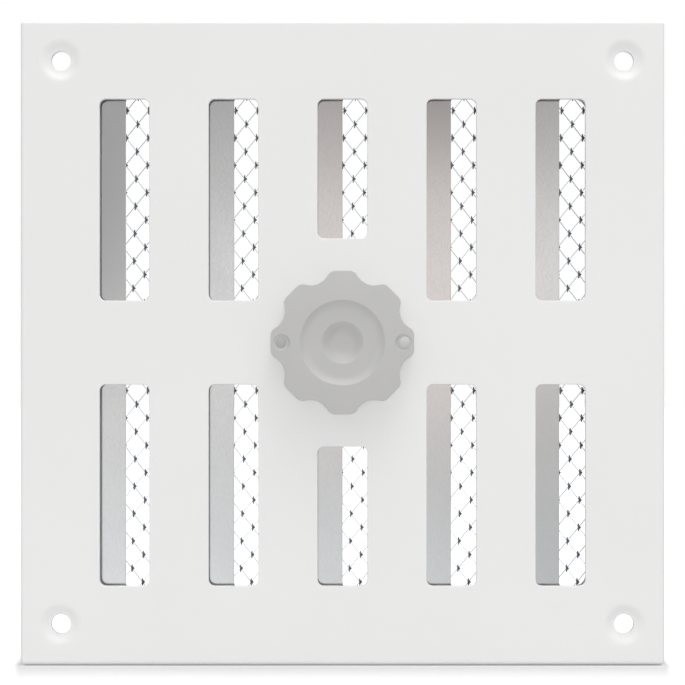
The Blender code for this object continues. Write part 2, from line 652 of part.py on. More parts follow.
def make_knob_pins():
    head_low = KNOB_PIN_SEAT + SEAT_GAP
    head_shoulder = head_low + KNOB_PIN_HEAD_HEIGHT / 2
    dome = [(0, head_low + KNOB_PIN_HEAD_HEIGHT)]
    for step in range(1, CORNER_STEPS + 1):
        lean = math.pi / 2 * step / CORNER_STEPS
        rise = KNOB_PIN_HEAD_HEIGHT / 2 * math.cos(lean)
        dome.append((KNOB_PIN_HEAD_RADIUS * math.sin(lean), head_shoulder + rise))
    tail_radius = KNOB_PIN_RADIUS + KNOB_PIN_TAIL_LIP
    tail_low = KNOB_PIN_TAIL_TOP - KNOB_PIN_TAIL_HEIGHT
    profile = dome + [
        (KNOB_PIN_HEAD_RADIUS, head_low),
        (KNOB_PIN_RADIUS, head_low),
        (KNOB_PIN_RADIUS, KNOB_PIN_TAIL_TOP),
        (tail_radius, KNOB_PIN_TAIL_TOP),
        (tail_radius, tail_low),
        (0, tail_low),
    ]
    for end, side in (("left", -1), ("right", 1)):
        place = (side * KNOB_PIN_OFFSET, 0)
        turned(f"knob_pin_{end}", profile, pin_plastic, knob_axis, place, SMALL_ROUND_STEPS)


def drive_outline():
    """Two arms to the knob's pins, a round hub on the spindle and a tongue that carries the crank pin."""
    quarter = math.pi / 2
    arm_foot = math.asin(DRIVE_ARM_HALF_WIDTH / DRIVE_HUB_RADIUS)
    tongue_foot = math.asin(DRIVE_TONGUE_HALF_WIDTH / DRIVE_HUB_RADIUS)
    steps = SMALL_ROUND_STEPS // 2
    points = arc((KNOB_PIN_OFFSET, 0), DRIVE_ARM_HALF_WIDTH, -quarter, quarter, steps)
    points += arc((0, 0), DRIVE_HUB_RADIUS, arm_foot, quarter - tongue_foot, CORNER_STEPS)
    points += arc((0, CRANK_RADIUS), DRIVE_TONGUE_HALF_WIDTH, 0, 2 * quarter, steps)
    points += arc((0, 0), DRIVE_HUB_RADIUS, quarter + tongue_foot, 2 * quarter - arm_foot, CORNER_STEPS)
    points += arc((-KNOB_PIN_OFFSET, 0), DRIVE_ARM_HALF_WIDTH, quarter, 3 * quarter, steps)
    points += arc((0, 0), DRIVE_HUB_RADIUS, 2 * quarter + arm_foot, 4 * quarter - arm_foot, steps)
    return points


def make_drive_plate():
    loops = [
        drive_outline(),
        circle((0, 0), SPINDLE_HOLE_RADIUS),
        circle((0, CRANK_RADIUS), CRANK_PIN_HOLE_RADIUS, SMALL_ROUND_STEPS),
        circle((-KNOB_PIN_OFFSET, 0), KNOB_PIN_HOLE_RADIUS, SMALL_ROUND_STEPS),
        circle((KNOB_PIN_OFFSET, 0), KNOB_PIN_HOLE_RADIUS, SMALL_ROUND_STEPS),
    ]
    mesh = outline_mesh("drive_plate", loops, DRIVE_LOW, DRIVE_TOP)
    return add_object("drive_plate", mesh, zinc_plate, knob_axis)


def make_crank():
    pin_low = ROLLER_LOW - SEAT_GAP
    pin = [
        (0, DRIVE_TOP),
        (CRANK_PIN_RADIUS, DRIVE_TOP),
        (CRANK_PIN_RADIUS, pin_low),
        (ROLLER_RADIUS, pin_low),
        (ROLLER_RADIUS, pin_low - CRANK_PIN_HEAD_HEIGHT),
        (0, pin_low - CRANK_PIN_HEAD_HEIGHT),
    ]
    place = (0, CRANK_RADIUS)
    turned("drive_pin", pin, zinc_plate, knob_axis, place, SMALL_ROUND_STEPS)
    roller = ring_profile(CRANK_PIN_HOLE_RADIUS, ROLLER_RADIUS, ROLLER_LOW, ROLLER_TOP)
    turned("pin_roller", roller, bush_plastic, knob_axis, place, SMALL_ROUND_STEPS)


def make_spindle_set():
    groove_radius = SPINDLE_RADIUS - SPINDLE_GROOVE_DEPTH
    groove_low, groove_top = CLIP_LOW - SEAT_GAP / 2, CLIP_TOP + SEAT_GAP / 2
    spindle = [
        (0, SPINDLE_HEAD_TOP),
        (SPINDLE_HEAD_RADIUS, SPINDLE_HEAD_TOP),
        (SPINDLE_HEAD_RADIUS, KNOB_POCKET_TOP),
        (SPINDLE_RADIUS, KNOB_POCKET_TOP),
        (SPINDLE_RADIUS, groove_top),
        (groove_radius, groove_top),
        (groove_radius, groove_low),
        (SPINDLE_RADIUS, groove_low),
        (SPINDLE_RADIUS, SPINDLE_LOW),
        (0, SPINDLE_LOW),
    ]
    turned("pivot_spindle", spindle, zinc_plate, knob_axis)
    bush = [
        (SPINDLE_HOLE_RADIUS, BUSH_TOP),
        (BUSH_RADIUS + BUSH_FLANGE_LIP, BUSH_TOP),
        (BUSH_RADIUS + BUSH_FLANGE_LIP, BUSH_FLANGE_LOW),
        (BUSH_RADIUS, BUSH_FLANGE_LOW),
        (BUSH_RADIUS, BUSH_LOW),
        (SPINDLE_HOLE_RADIUS, BUSH_LOW),
    ]
    turned("pivot_bush", bush, bush_plastic)
    friction_radius = SHUTTER_WINDOW_HALF_HEIGHT + FRICTION_WASHER_LAP
    friction = ring_profile(SPINDLE_HOLE_RADIUS, friction_radius, FRICTION_LOW, FRICTION_TOP)
    turned("friction_washer", friction, fibre, knob_axis)
    wave_radius = SPINDLE_HOLE_RADIUS + WAVE_WASHER_BAND
    wave = ring_profile(SPINDLE_HOLE_RADIUS, wave_radius, WAVE_LOW, WAVE_TOP)
    turned("wave_washer", wave, spring_steel, knob_axis)
    first, last = CLIP_MOUTH_HALF_ANGLE, 2 * math.pi - CLIP_MOUTH_HALF_ANGLE
    outer = arc((0, 0), SPINDLE_RADIUS + CLIP_LIP, first, last, ROUND_STEPS)
    inner = arc((0, 0), groove_radius + SEAT_GAP, last, first, ROUND_STEPS)
    clip = outline_mesh("retaining_clip", [outer + inner], CLIP_LOW, CLIP_TOP)
    add_object("retaining_clip", clip, spring_steel, knob_axis)


make_front_plate()
make_shutter()
make_guide_rail("guide_rail_upper", 1)
make_guide_rail("guide_rail_lower", -1)
make_stud_sets()
make_mesh_frame()
make_insect_mesh()
make_knob()
make_knob_pins()
make_drive_plate()
make_crank()
make_spindle_set()
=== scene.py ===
# %% [markdown]
# # A slotted air grille with a sliding shutter
# A square white metal plate has ten upright slots. Behind it a bare metal shutter slides sideways, so that
# the slots open and close, and a fine net behind keeps insects out. A grey knob in the middle works the
# shutter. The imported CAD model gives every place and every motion. This lesson makes the finished surfaces
# around it: each piece is modelled with Blender's own operators, set on its body, and given a finish made
# of nodes.

# %% Load the frame
import math
from contextlib import contextmanager

import bmesh
import bpy
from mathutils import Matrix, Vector


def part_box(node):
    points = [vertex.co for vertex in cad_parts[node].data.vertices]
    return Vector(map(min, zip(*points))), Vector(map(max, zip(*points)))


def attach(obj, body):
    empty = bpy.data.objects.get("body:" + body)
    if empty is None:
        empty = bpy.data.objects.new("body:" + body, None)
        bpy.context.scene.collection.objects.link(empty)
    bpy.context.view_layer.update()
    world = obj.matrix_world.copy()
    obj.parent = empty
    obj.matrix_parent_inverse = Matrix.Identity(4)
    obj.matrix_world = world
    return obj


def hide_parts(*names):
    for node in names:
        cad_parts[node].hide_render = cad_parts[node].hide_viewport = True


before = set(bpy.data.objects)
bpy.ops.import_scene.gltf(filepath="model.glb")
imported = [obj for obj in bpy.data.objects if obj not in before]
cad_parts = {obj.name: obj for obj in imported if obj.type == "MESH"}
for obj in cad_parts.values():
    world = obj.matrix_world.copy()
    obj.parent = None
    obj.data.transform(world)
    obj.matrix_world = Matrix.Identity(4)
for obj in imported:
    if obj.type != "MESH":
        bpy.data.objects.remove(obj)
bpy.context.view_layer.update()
MM = 0.001
MERGE = 0.001 * MM

# %% [markdown]
# ## Tools for modelling
# Operators act on whatever is selected, so every step first selects exactly what it needs. These helpers
# do that: one makes an object active, one opens it in edit mode, one picks faces or edges by a rule about
# where they are or how they face, and one turns all faces outwards. Picking by rule is what the mouse does
# by hand, and it keeps working when a size changes.


# %% Choosing what an operator acts on
def activate(obj):
    bpy.ops.object.select_all(action="DESELECT")
    obj.select_set(True)
    bpy.context.view_layer.objects.active = obj


@contextmanager
def editing(obj):
    activate(obj)
    bpy.ops.object.mode_set(mode="EDIT")
    yield
    bpy.ops.object.mode_set(mode="OBJECT")


def pick(obj, kind, rule):
    """Selects, in edit mode, just the verts, edges or faces that the rule is true for."""
    bpy.ops.mesh.select_mode(type=kind)
    bpy.ops.mesh.select_all(action="DESELECT")
    mesh = bmesh.from_edit_mesh(obj.data)
    items = {"VERT": mesh.verts, "EDGE": mesh.edges, "FACE": mesh.faces}[kind]
    chosen = [item for item in items if rule(item)]
    for item in chosen:
        item.select_set(True)
    mesh.select_flush_mode()
    bmesh.update_edit_mesh(obj.data)
    return len(chosen)


def face_outwards():
    bpy.ops.mesh.select_all(action="SELECT")
    bpy.ops.mesh.normals_make_consistent(inside=False)


# %% [markdown]
# A primitive is only a start. The block and the disc below are added at their size and place, and that
# place is then applied, because a finished piece keeps its place in its mesh and its object at the origin.
# A turned shape is drawn as a chain of points, each one extruded from the last, and spun about an axis
# that runs front to back.


# %% Blocks, discs and turned shapes
def settle(name):
    """Names the new primitive, and puts its place, turn and size into its mesh."""
    obj = bpy.context.object
    obj.name = name
    obj.data.name = name
    bpy.ops.object.transform_apply(location=True, rotation=True, scale=True)
    return obj


def block(name, low, high):
    bpy.ops.object.select_all(action="DESELECT")
    low, high = Vector(low), Vector(high)
    bpy.ops.mesh.primitive_cube_add(size=1, location=(low + high) / 2, scale=high - low)
    return settle(name)


def disc(name, centre, radius, front, back, sides=64, turn=0.0):
    """A cylinder that runs front to back. The centre is its place across and up."""
    bpy.ops.object.select_all(action="DESELECT")
    place = (centre[0], (front + back) / 2, centre[1])
    tilt = (math.pi / 2, turn, 0)
    bpy.ops.mesh.primitive_cylinder_add(
        vertices=sides, radius=radius, depth=abs(back - front), location=place, rotation=tilt
    )
    return settle(name)


def drawn_line(name, points):
    """A chain of edges: a plane merged to one point, which is then extruded from place to place."""
    bpy.ops.object.select_all(action="DESELECT")
    bpy.ops.mesh.primitive_plane_add(size=MM, location=points[0])
    line = settle(name)
    with editing(line):
        bpy.ops.mesh.select_mode(type="VERT")
        bpy.ops.mesh.select_all(action="SELECT")
        bpy.ops.mesh.merge(type="CENTER")
        for here, there in zip(points, points[1:]):
            step = Vector(there) - Vector(here)
            bpy.ops.mesh.extrude_vertices_move(TRANSFORM_OT_translate={"value": step})
    return line


def turned(name, section, centre=(0, 0), steps=64):
    """Spins a section of (radius, y) points. A section that ends where it starts makes a ring."""
    points = [(centre[0] + radius, y, centre[1]) for radius, y in section]
    piece = drawn_line(name, points)
    with editing(piece):
        bpy.ops.mesh.select_mode(type="VERT")
        bpy.ops.mesh.select_all(action="SELECT")
        axis_point = (centre[0], 0, centre[1])
        bpy.ops.mesh.spin(steps=steps, angle=2 * math.pi, center=axis_point, axis=(0, 1, 0))
        bpy.ops.mesh.select_all(action="SELECT")
        bpy.ops.mesh.remove_doubles(threshold=MERGE)
        face_outwards()
    return piece


# %% [markdown]
# Sheet metal is cut with punches, and so are these pieces: all the punches of a piece are joined and taken
# away in one Boolean. Real edges are never razor sharp, so a narrow bevel breaks them, and weighted
# normals keep the flat faces flat in the shading while the small bevels turn smoothly.


# %% Joining, punching and breaking edges
def join(pieces, name):
    activate(pieces[0])
    for piece in pieces[1:]:
        piece.select_set(True)
    if len(pieces) > 1:
        bpy.ops.object.join()
    pieces[0].name = name
    return pieces[0]


def apply_modifier(obj, kind, **settings):
    activate(obj)
    bpy.ops.object.modifier_add(type=kind)
    modifier = obj.modifiers[-1]
    for name, value in settings.items():
        setattr(modifier, name, value)
    bpy.ops.object.modifier_apply(modifier=modifier.name)


def open_edges(obj):
    """How many edges don't lie between exactly two faces. A closed piece has none."""
    mesh = bmesh.new()
    mesh.from_mesh(obj.data)
    count = sum(not edge.is_manifold for edge in mesh.edges)
    mesh.free()
    return count


def punch(obj, tools, operation="DIFFERENCE", solver="EXACT"):
    cutter = join(tools, obj.name + "_tools")
    apply_modifier(obj, "BOOLEAN", object=cutter, operation=operation, solver=solver)
    bpy.data.objects.remove(cutter, do_unlink=True)


def break_edges(obj, width, segments=2, sharper_than=30):
    limits = {"limit_method": "ANGLE", "angle_limit": math.radians(sharper_than)}
    apply_modifier(obj, "BEVEL", width=width, segments=segments, use_clamp_overlap=False, **limits)


def shade(obj, smooth_up_to=40):
    activate(obj)
    bpy.ops.object.shade_smooth_by_angle(angle=math.radians(smooth_up_to))
    apply_modifier(obj, "WEIGHTED_NORMAL", keep_sharp=True)


def hand_over(obj, body, nodes, finish):
    """Sets a finished piece on its body, in place of its CAD nodes, and gives it its finish."""
    obj.data.materials.clear()
    obj.data.materials.append(finish)
    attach(obj, body)
    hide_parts(*nodes)
    print(f"{obj.name}: {len(obj.data.polygons)} faces, {open_edges(obj)} open edges, rides on {body}")


# %% [markdown]
# ## Tools for finishes
# A finish is a small graph of nodes. Writing it as sums and products is easier to read than wiring it, so
# this class wraps one socket: arithmetic on it adds Math nodes, and node() adds any other node. Every
# pattern reads Object coordinates, which are metres on the piece itself, so a pattern stays put when the
# piece moves.


# %% Node graphs as expressions
class Wire:
    """One socket of a finish. Arithmetic on it adds Math nodes."""

    def __init__(self, tree, socket=None):
        self.tree = tree
        self.socket = socket

    def node(self, kind, settings, inputs, output=0):
        made = self.tree.nodes.new(kind)
        for name, value in settings.items():
            setattr(made, name, value)
        for name, value in inputs.items():
            self.feed(made.inputs[name], value)
        return Wire(self.tree, made.outputs[output])

    def feed(self, socket, value):
        if isinstance(value, Wire):
            self.tree.links.new(value.socket, socket)
        else:
            socket.default_value = value

    def math(self, operation, first, second):
        return self.node("ShaderNodeMath", {"operation": operation}, {0: first, 1: second})

    def __add__(self, other):
        return self.math("ADD", self, other)

    __radd__ = __add__

    def __sub__(self, other):
        return self.math("SUBTRACT", self, other)

    def __rsub__(self, other):
        return self.math("SUBTRACT", other, self)

    def __mul__(self, other):
        return self.math("MULTIPLY", self, other)

    __rmul__ = __mul__

    def __truediv__(self, other):
        return self.math("DIVIDE", self, other)

    def ramp(self, low, high):
        """0 up to low, 1 from high, and a smooth rise between."""
        span = {"From Min": low, "From Max": high}
        settings = {"interpolation_type": "SMOOTHSTEP"}
        return self.node("ShaderNodeMapRange", settings, {"Value": self, **span})


# %% Starting a finish, and the patterns that finishes share
def new_finish(name, roughness, metallic=0.0):
    """A Principled material. Returns it, its shader and a bare wire to start expressions from."""
    material = bpy.data.materials.new(name)
    material.use_nodes = True
    shader = material.node_tree.nodes["Principled BSDF"]
    shader.inputs["Roughness"].default_value = roughness
    shader.inputs["Metallic"].default_value = metallic
    return material, shader, Wire(material.node_tree)


def place_on(wire, stretch=(1, 1, 1)):
    """Object coordinates, stretched to suit a pattern."""
    coordinates = wire.node("ShaderNodeTexCoord", {}, {}, output=3)
    return wire.node("ShaderNodeMapping", {}, {"Vector": coordinates, "Scale": stretch})


def part_of(wire, vector, axis):
    """One part of a vector: 0 is across, 1 is back and 2 is up."""
    return wire.node("ShaderNodeSeparateXYZ", {}, {"Vector": vector}, output=axis)


def grain(wire, size, detail=2.0, stretch=(1, 1, 1)):
    """Noise whose blotches are about one size across, from 0 to 1."""
    inputs = {"Vector": place_on(wire, stretch), "Scale": 1 / size, "Detail": detail}
    return wire.node("ShaderNodeTexNoise", {}, inputs)


def mixed(wire, share, first, second):
    """One colour blended into another."""
    settings = {"data_type": "RGBA"}
    inputs = {0: share, 6: first, 7: second}
    return wire.node("ShaderNodeMix", settings, inputs, output=2)


def bumped(wire, height, depth):
    """A normal that stands up by a depth in metres where the height is 1."""
    return wire.node("ShaderNodeBump", {}, {"Height": height, "Distance": depth, "Strength": 1.0})


def grey(value, warmth=0.0):
    """A grey, warm when the warmth is above 0 and cool when below."""
    return (value * (1 + warmth), value, value * (1 - warmth), 1)


# %% [markdown]
# ## The camera and the studio
# The photograph looks straight at the plate, which fills nearly all of the frame. A sheet that lies deeper
# shifts towards the middle of the picture, and for the depths chosen here it does so by as much as a
# camera about 0.38 m away would give.

# %% Camera
FRAME_PIXELS = 685
PLATE_PIXELS = 645
CAMERA_REACH = 380 * MM
plate_low, plate_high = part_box("front_plate")
plate_front, wall = plate_low.y, plate_high.y
plate_side = plate_high.x - plate_low.x

camera_data = bpy.data.cameras.new("camera")
camera = bpy.data.objects.new("camera", camera_data)
bpy.context.scene.collection.objects.link(camera)
bpy.context.scene.camera = camera
camera.location = (0, plate_front - CAMERA_REACH, 0)
camera.rotation_euler = (math.pi / 2, 0, 0)
field_width = plate_side * FRAME_PIXELS / PLATE_PIXELS
camera_data.lens = camera_data.sensor_width * CAMERA_REACH / field_width
camera_data.clip_start = 1 * MM
print(f"camera: {camera_data.lens:.1f} mm lens, field {field_width / MM:.1f} mm wide")

# %% [markdown]
# The floor is white to the camera. Its camera glow carries a painted shadow of the plate: deepest at
# its foot, less and less over about 27 mm, and over a narrower strip further out. A slight painted lift
# at the contact itself keeps that line from turning black. Metal mirrors a painted reflection from the
# floor, at a brightness of its own, which falls towards the right.

# %% Floor
FLOOR_SIDE = 3.0
FLOOR_GREY = 0.60
FLOOR_GAP = 0.3 * MM
FLOOR_GLOW, PAINTED_FOOT_SHADE, SHADE_REACH, SIDE_FALL = 0.62, 0.50, 27 * MM, 10.0
PAINTED_CONTACT_LIFT, CONTACT_REACH, TAPER = 0.17, 1.8 * MM, 0.22
MIRRORED_GLOW, MIRRORED_SLOPE, MIRRORED_NEAR, MIRRORED_EDGE = 0.16, 0.85, 0.10, 0.10
NEAR_RUN, EDGE_RUN = (-0.35, -0.10), (0.09, 0.13)
bpy.ops.object.select_all(action="DESELECT")
bpy.ops.mesh.primitive_plane_add(size=FLOOR_SIDE, location=(0, 0, plate_low.z - FLOOR_GAP))
floor = settle("studio_floor")

floor_finish, floor_shader, wire = new_finish("floor_white", 0.9)
floor_shader.inputs["Base Color"].default_value = grey(FLOOR_GREY)
to_camera = wire.node("ShaderNodeLightPath", {}, {}, output="Is Camera Ray")
to_gloss = wire.node("ShaderNodeLightPath", {}, {}, output="Is Glossy Ray")
place = wire.node("ShaderNodeTexCoord", {}, {}, output=3)
right = part_of(wire, place, 0)
ahead = part_of(wire, place, 1)
off_plate = wire.math("ABSOLUTE", ahead - (plate_front + wall) / 2, 0.0) - (wall - plate_front) / 2
before = wire.math("MAXIMUM", off_plate, 0.0)
off_side = wire.math("ABSOLUTE", right, 0.0) + before * TAPER - plate_high.x
beside = wire.math("MAXIMUM", off_side, 0.0) * SIDE_FALL
from_foot = wire.math("SQRT", beside * beside + before * before, 0.0)
# Painted shadow: the floor's camera glow is darkened around the plate's foot, with a painted lift at the
# contact.
painted_shadow_share = wire.math("MAXIMUM", 1 - from_foot / SHADE_REACH, 0.0)
painted_lift_share = wire.math("MAXIMUM", 1 - from_foot / CONTACT_REACH, 0.0)
seen = FLOOR_GLOW - painted_shadow_share * PAINTED_FOOT_SHADE + painted_lift_share * PAINTED_CONTACT_LIFT
# Painted reflection: the floor's glow for glossy rays falls towards the right, is brighter nearer the plate
# and drops again far to the right.
bearing = right / (CAMERA_REACH - ahead)
painted_reflection = MIRRORED_GLOW - bearing * MIRRORED_SLOPE + ahead.ramp(*NEAR_RUN) * MIRRORED_NEAR
painted_reflection = painted_reflection - bearing.ramp(*EDGE_RUN) * MIRRORED_EDGE
glow = mixed(wire, to_camera * seen + to_gloss * painted_reflection, grey(0.0), grey(1.0))
wire.feed(floor_shader.inputs["Emission Color"], glow)
floor_shader.inputs["Emission Strength"].default_value = 1.0
floor.data.materials.append(floor_finish)
print("floor at", round(floor.data.vertices[0].co.z / MM, 2), "mm")

# %% [markdown]
# The room is white. Bare metal shows only what it mirrors, so in an all white room the shutter would look
# as white as the paint. Dark cards therefore stand about the camera and a bright panel hangs overhead.
# They show only in reflections.

# %% World: a white room with dark cards about the camera
ROOM_LIGHT, SKY_LIFT, SKY_LEAST, MIRRORED, OVERHEAD = 0.22, 0.75, 0.05, 1.06, 2.4
TOP_CARD, LEFT_CARD, LOW_CARD, RIGHT_CARD, SPOT_CARD = 0.60, 0.58, 0.16, 0.44, 0.30
world = bpy.data.worlds.new("white_room")
bpy.context.scene.world = world
world.use_nodes = True
room = Wire(world.node_tree)
background = world.node_tree.nodes["Background"]
toward = room.node("ShaderNodeTexCoord", {}, {}, output=0)
aside, behind, up = (part_of(room, toward, axis) for axis in range(3))


def rise(direction, start, full):
    """0 at the first angle and 1 at the second, in degrees along one direction of the room."""
    return direction.ramp(math.sin(math.radians(start)), math.sin(math.radians(full)))


about_camera = rise(behind, -50, -70)
top_card = rise(up, 2, 11) * rise(up, 50, 35) * TOP_CARD
left_card = rise(aside, -5.5, -8.5) * rise(up, -3, 2) * rise(up, 10, 4) * LEFT_CARD
low_card = rise(up, 1, -2.5) * LOW_CARD
right_card = rise(aside, 4.5, 7.5) * rise(up, 0.5, -2) * RIGHT_CARD
spot_card = rise(aside, 1.6, 3.2) * rise(aside, 6.4, 5.0) * rise(up, 6, 9.5) * SPOT_CARD
cards = about_camera * (top_card + left_card + low_card + right_card + spot_card)
camera_ray = room.node("ShaderNodeLightPath", {}, {}, output="Is Camera Ray")
glossy_ray = room.node("ShaderNodeLightPath", {}, {}, output="Is Glossy Ray")
sky = room.math("MAXIMUM", up * SKY_LIFT + ROOM_LIGHT, SKY_LEAST)
panel = rise(up, 38, 58) * OVERHEAD
walls = glossy_ray * (MIRRORED - cards + panel) + (1 - glossy_ray) * sky
strength = camera_ray + (1 - camera_ray) * walls
background.inputs["Color"].default_value = grey(1.0)
room.feed(background.inputs["Strength"], strength)
print("world nodes:", len(world.node_tree.nodes))


# %% Lamps
def softbox(name, place, width, share):
    """A square soft lamp aimed at the plate. A share of 1 would show a colour as it is written."""
    data = bpy.data.lights.new(name, "AREA")
    data.shape = "SQUARE"
    data.size = width
    data.energy = share * (math.pi * Vector(place).length) ** 2
    lamp = bpy.data.objects.new(name, data)
    bpy.context.scene.collection.objects.link(lamp)
    lamp.location = place
    lamp.rotation_euler = (-Vector(place)).to_track_quat("-Z", "Y").to_euler()
    lamp.visible_glossy = False
    print(f"{name}: {data.energy:.2f} W")


softbox("front_softbox", place=(0.05, -2.30, 0.06), width=0.22, share=0.365)
softbox("top_softbox", place=(0.16, -0.21, 0.82), width=0.45, share=0.335)
bpy.context.scene.view_settings.view_transform = "Standard"

# %% [markdown]
# ## Finishes
# The plate is powder coated: semi-gloss white, with the very fine orange peel that powder leaves when it
# melts. The wavelength of the peel is under a millimetre and its depth a few thousandths, so it shows only
# as a slight softness in the highlights.


# %% White powder coat
def powder_coat():
    material, shader, wire = new_finish("white_powder_coat", 0.38)
    cloud = grain(wire, 40 * MM, detail=1.0)
    colour = mixed(wire, cloud, grey(0.795, 0.004), grey(0.825, 0.004))
    wire.feed(shader.inputs["Base Color"], colour)
    peel = grain(wire, 0.9 * MM, detail=1.5)
    wire.feed(shader.inputs["Roughness"], peel * 0.10 + 0.32)
    wire.feed(shader.inputs["Normal"], bumped(wire, peel, 0.006 * MM))
    shader.inputs["Specular IOR Level"].default_value = 0.45
    return material


white_powder = powder_coat()

# %% [markdown]
# The shutter, rails and rear frame are galvanised sheet. Zinc sets in flat crystals, the spangle, a few
# millimetres across, each a slightly different grey, and the rolling mill leaves fine lines along the
# sheet.


# %% Galvanised sheet
def galvanised_sheet(name, base, roughness, spangle=2.5 * MM):
    material, shader, wire = new_finish(name, roughness, 1.0)
    spots = {"Vector": place_on(wire), "Scale": 1 / spangle, "Randomness": 1.0}
    crystal = wire.node("ShaderNodeTexVoronoi", {"feature": "F1"}, spots, output=1)
    shade_of = wire.node("ShaderNodeSeparateColor", {}, {"Color": crystal})
    rolled = grain(wire, 0.25 * MM, detail=2.0, stretch=(1, 1, 0.06))
    cloud = grain(wire, 22 * MM, detail=2.0)
    tint = mixed(wire, cloud.ramp(0.4, 0.6), grey(base, 0.022), grey(base, -0.012))
    share = shade_of * 0.12 + rolled * 0.20
    wire.feed(shader.inputs["Base Color"], mixed(wire, share, tint, grey(base * 0.86)))
    wire.feed(shader.inputs["Roughness"], shade_of * 0.03 + rolled * 0.06 + (roughness - 0.04))
    wire.feed(shader.inputs["Normal"], bumped(wire, rolled, 0.0008 * MM))
    return material


def shutter_sheet():
    """Smooth galvanised sheet, tinted warm at the upper right and slightly cooler and darker towards the
    bottom.
    """
    material, shader, wire = new_finish("shutter_zinc", 0.24, 1.0)
    rolled = grain(wire, 0.22 * MM, detail=3.0, stretch=(1, 1, 0.25))
    cloud = grain(wire, 14 * MM, detail=3.0)
    place = wire.node("ShaderNodeTexCoord", {}, {}, output=3)
    across, height = part_of(wire, place, 0), part_of(wire, place, 2)
    rose = across.ramp(-24 * MM, 2 * MM) * across.ramp(70 * MM, 34 * MM) * height.ramp(-50 * MM, -5 * MM)
    steel = mixed(wire, height.ramp(-10 * MM, -60 * MM), grey(0.715, 0.003), (0.695, 0.705, 0.715, 1))
    warm_tinted = mixed(wire, rose * (cloud * 0.5 + 0.6), steel, (0.735, 0.665, 0.645, 1))
    share = rolled.ramp(0.35, 0.75) * 0.5 + cloud.ramp(0.4, 0.7) * 0.2
    wire.feed(shader.inputs["Base Color"], mixed(wire, share, warm_tinted, grey(0.63)))
    wire.feed(shader.inputs["Roughness"], rolled * 0.07 + cloud * 0.05 + 0.095)
    wire.feed(shader.inputs["Normal"], bumped(wire, rolled, 0.0006 * MM))
    return material


shutter_zinc = shutter_sheet()
frame_zinc = galvanised_sheet("frame_zinc", 0.74, 0.34)


# %% Bright zinc plate, spring steel, nylon and fibre
def plated_steel(name, base, roughness, warmth):
    material, shader, wire = new_finish(name, roughness, 1.0)
    bloom = grain(wire, 1.6 * MM, detail=4.0)
    wire.feed(shader.inputs["Base Color"], mixed(wire, bloom, grey(base * 0.88, warmth), grey(base, -warmth)))
    fine = grain(wire, 0.15 * MM, detail=2.0)
    wire.feed(shader.inputs["Roughness"], fine * 0.18 + (roughness - 0.06))
    wire.feed(shader.inputs["Normal"], bumped(wire, fine, 0.002 * MM))
    return material


def moulded_plastic(name, base, roughness, warmth, texture=0.22 * MM, depth=0.008 * MM):
    """A spark-eroded mould leaves a fine, even grain on plastic."""
    material, shader, wire = new_finish(name, roughness)
    speck = grain(wire, texture, detail=3.0)
    cloud = grain(wire, 9 * MM, detail=2.0)
    tone = mixed(wire, cloud, grey(base * 0.97, warmth), grey(base * 1.03, warmth))
    wire.feed(shader.inputs["Base Color"], mixed(wire, speck * 0.18, tone, grey(base * 0.88, warmth)))
    wire.feed(shader.inputs["Roughness"], speck * 0.16 + (roughness - 0.08))
    wire.feed(shader.inputs["Normal"], bumped(wire, speck, depth))
    return material


bright_zinc = plated_steel("bright_zinc", 0.78, 0.24, 0.012)
dark_spring = plated_steel("dark_spring_steel", 0.36, 0.34, 0.01)
knob_grey = moulded_plastic("knob_grey", 0.495, 0.50, 0.008)
# Both pins are one plastic: the left pin's darker grey is painted shade, the right pin's lighter grey painted
# light.
shaded_and_lit_pin_greys = {"left": moulded_plastic("pin_grey_left", 0.41, 0.42, 0.004)}
shaded_and_lit_pin_greys["right"] = moulded_plastic("pin_grey_right", 0.54, 0.42, 0.004)
nylon = moulded_plastic("natural_nylon", 0.74, 0.45, 0.03)


def red_fibre():
    material, shader, wire = new_finish("red_fibre", 0.8)
    hair = grain(wire, 0.3 * MM, detail=5.0, stretch=(1, 1, 0.25))
    wire.feed(shader.inputs["Base Color"], mixed(wire, hair, (0.26, 0.10, 0.06, 1), (0.42, 0.20, 0.13, 1)))
    wire.feed(shader.inputs["Normal"], bumped(wire, hair, 0.01 * MM))
    return material


fibre_red = red_fibre()

# %% [markdown]
# ## The front plate
# The real plate is one sheet: its rim is folded back, its slots are punched, and the holes for the wall
# screws are pressed into shallow dimples. The model follows the same order. A block gets its folded edges
# by a bevel, its hollow back by an inset and an extrusion, and its slots by one Boolean.

# %% Slot layout
SLOT_WIDTH = 12.7 * MM
SLOT_CORNER = 1.6 * MM
SLOT_PITCH = 27.9 * MM
SLOT_END = 62.3 * MM
ROW_START = 10.75 * MM
MIDDLE_ROW_START = 26.65 * MM


def slot_spans():
    """Left, right, bottom and top of each slot."""
    for column in range(-2, 3):
        start = ROW_START if column else MIDDLE_ROW_START
        left = column * SLOT_PITCH - SLOT_WIDTH / 2
        yield left, left + SLOT_WIDTH, start, SLOT_END
        yield left, left + SLOT_WIDTH, -SLOT_END, -start


def runs_back(edge, further_than=0.01 * MM):
    """A rule for the edges that run front to back."""
    return abs(edge.verts[0].co.y - edge.verts[1].co.y) > further_than


def slot_punch(name, left, right, bottom, top, front, back, corner):
    """A block whose four edges that run front to back are rounded."""
    tool = block(name, (left, front, bottom), (right, back, top))
    with editing(tool):
        pick(tool, "EDGE", runs_back)
        bpy.ops.mesh.bevel(offset=corner, segments=8, affect="EDGES")
    return tool


print("slots:", len(list(slot_spans())))

# %% A pan with a folded rim
SHEET = 1.0 * MM
BEND = 1.05 * MM
CUT_PAST = 1.0 * MM
sheet_back = plate_front + SHEET

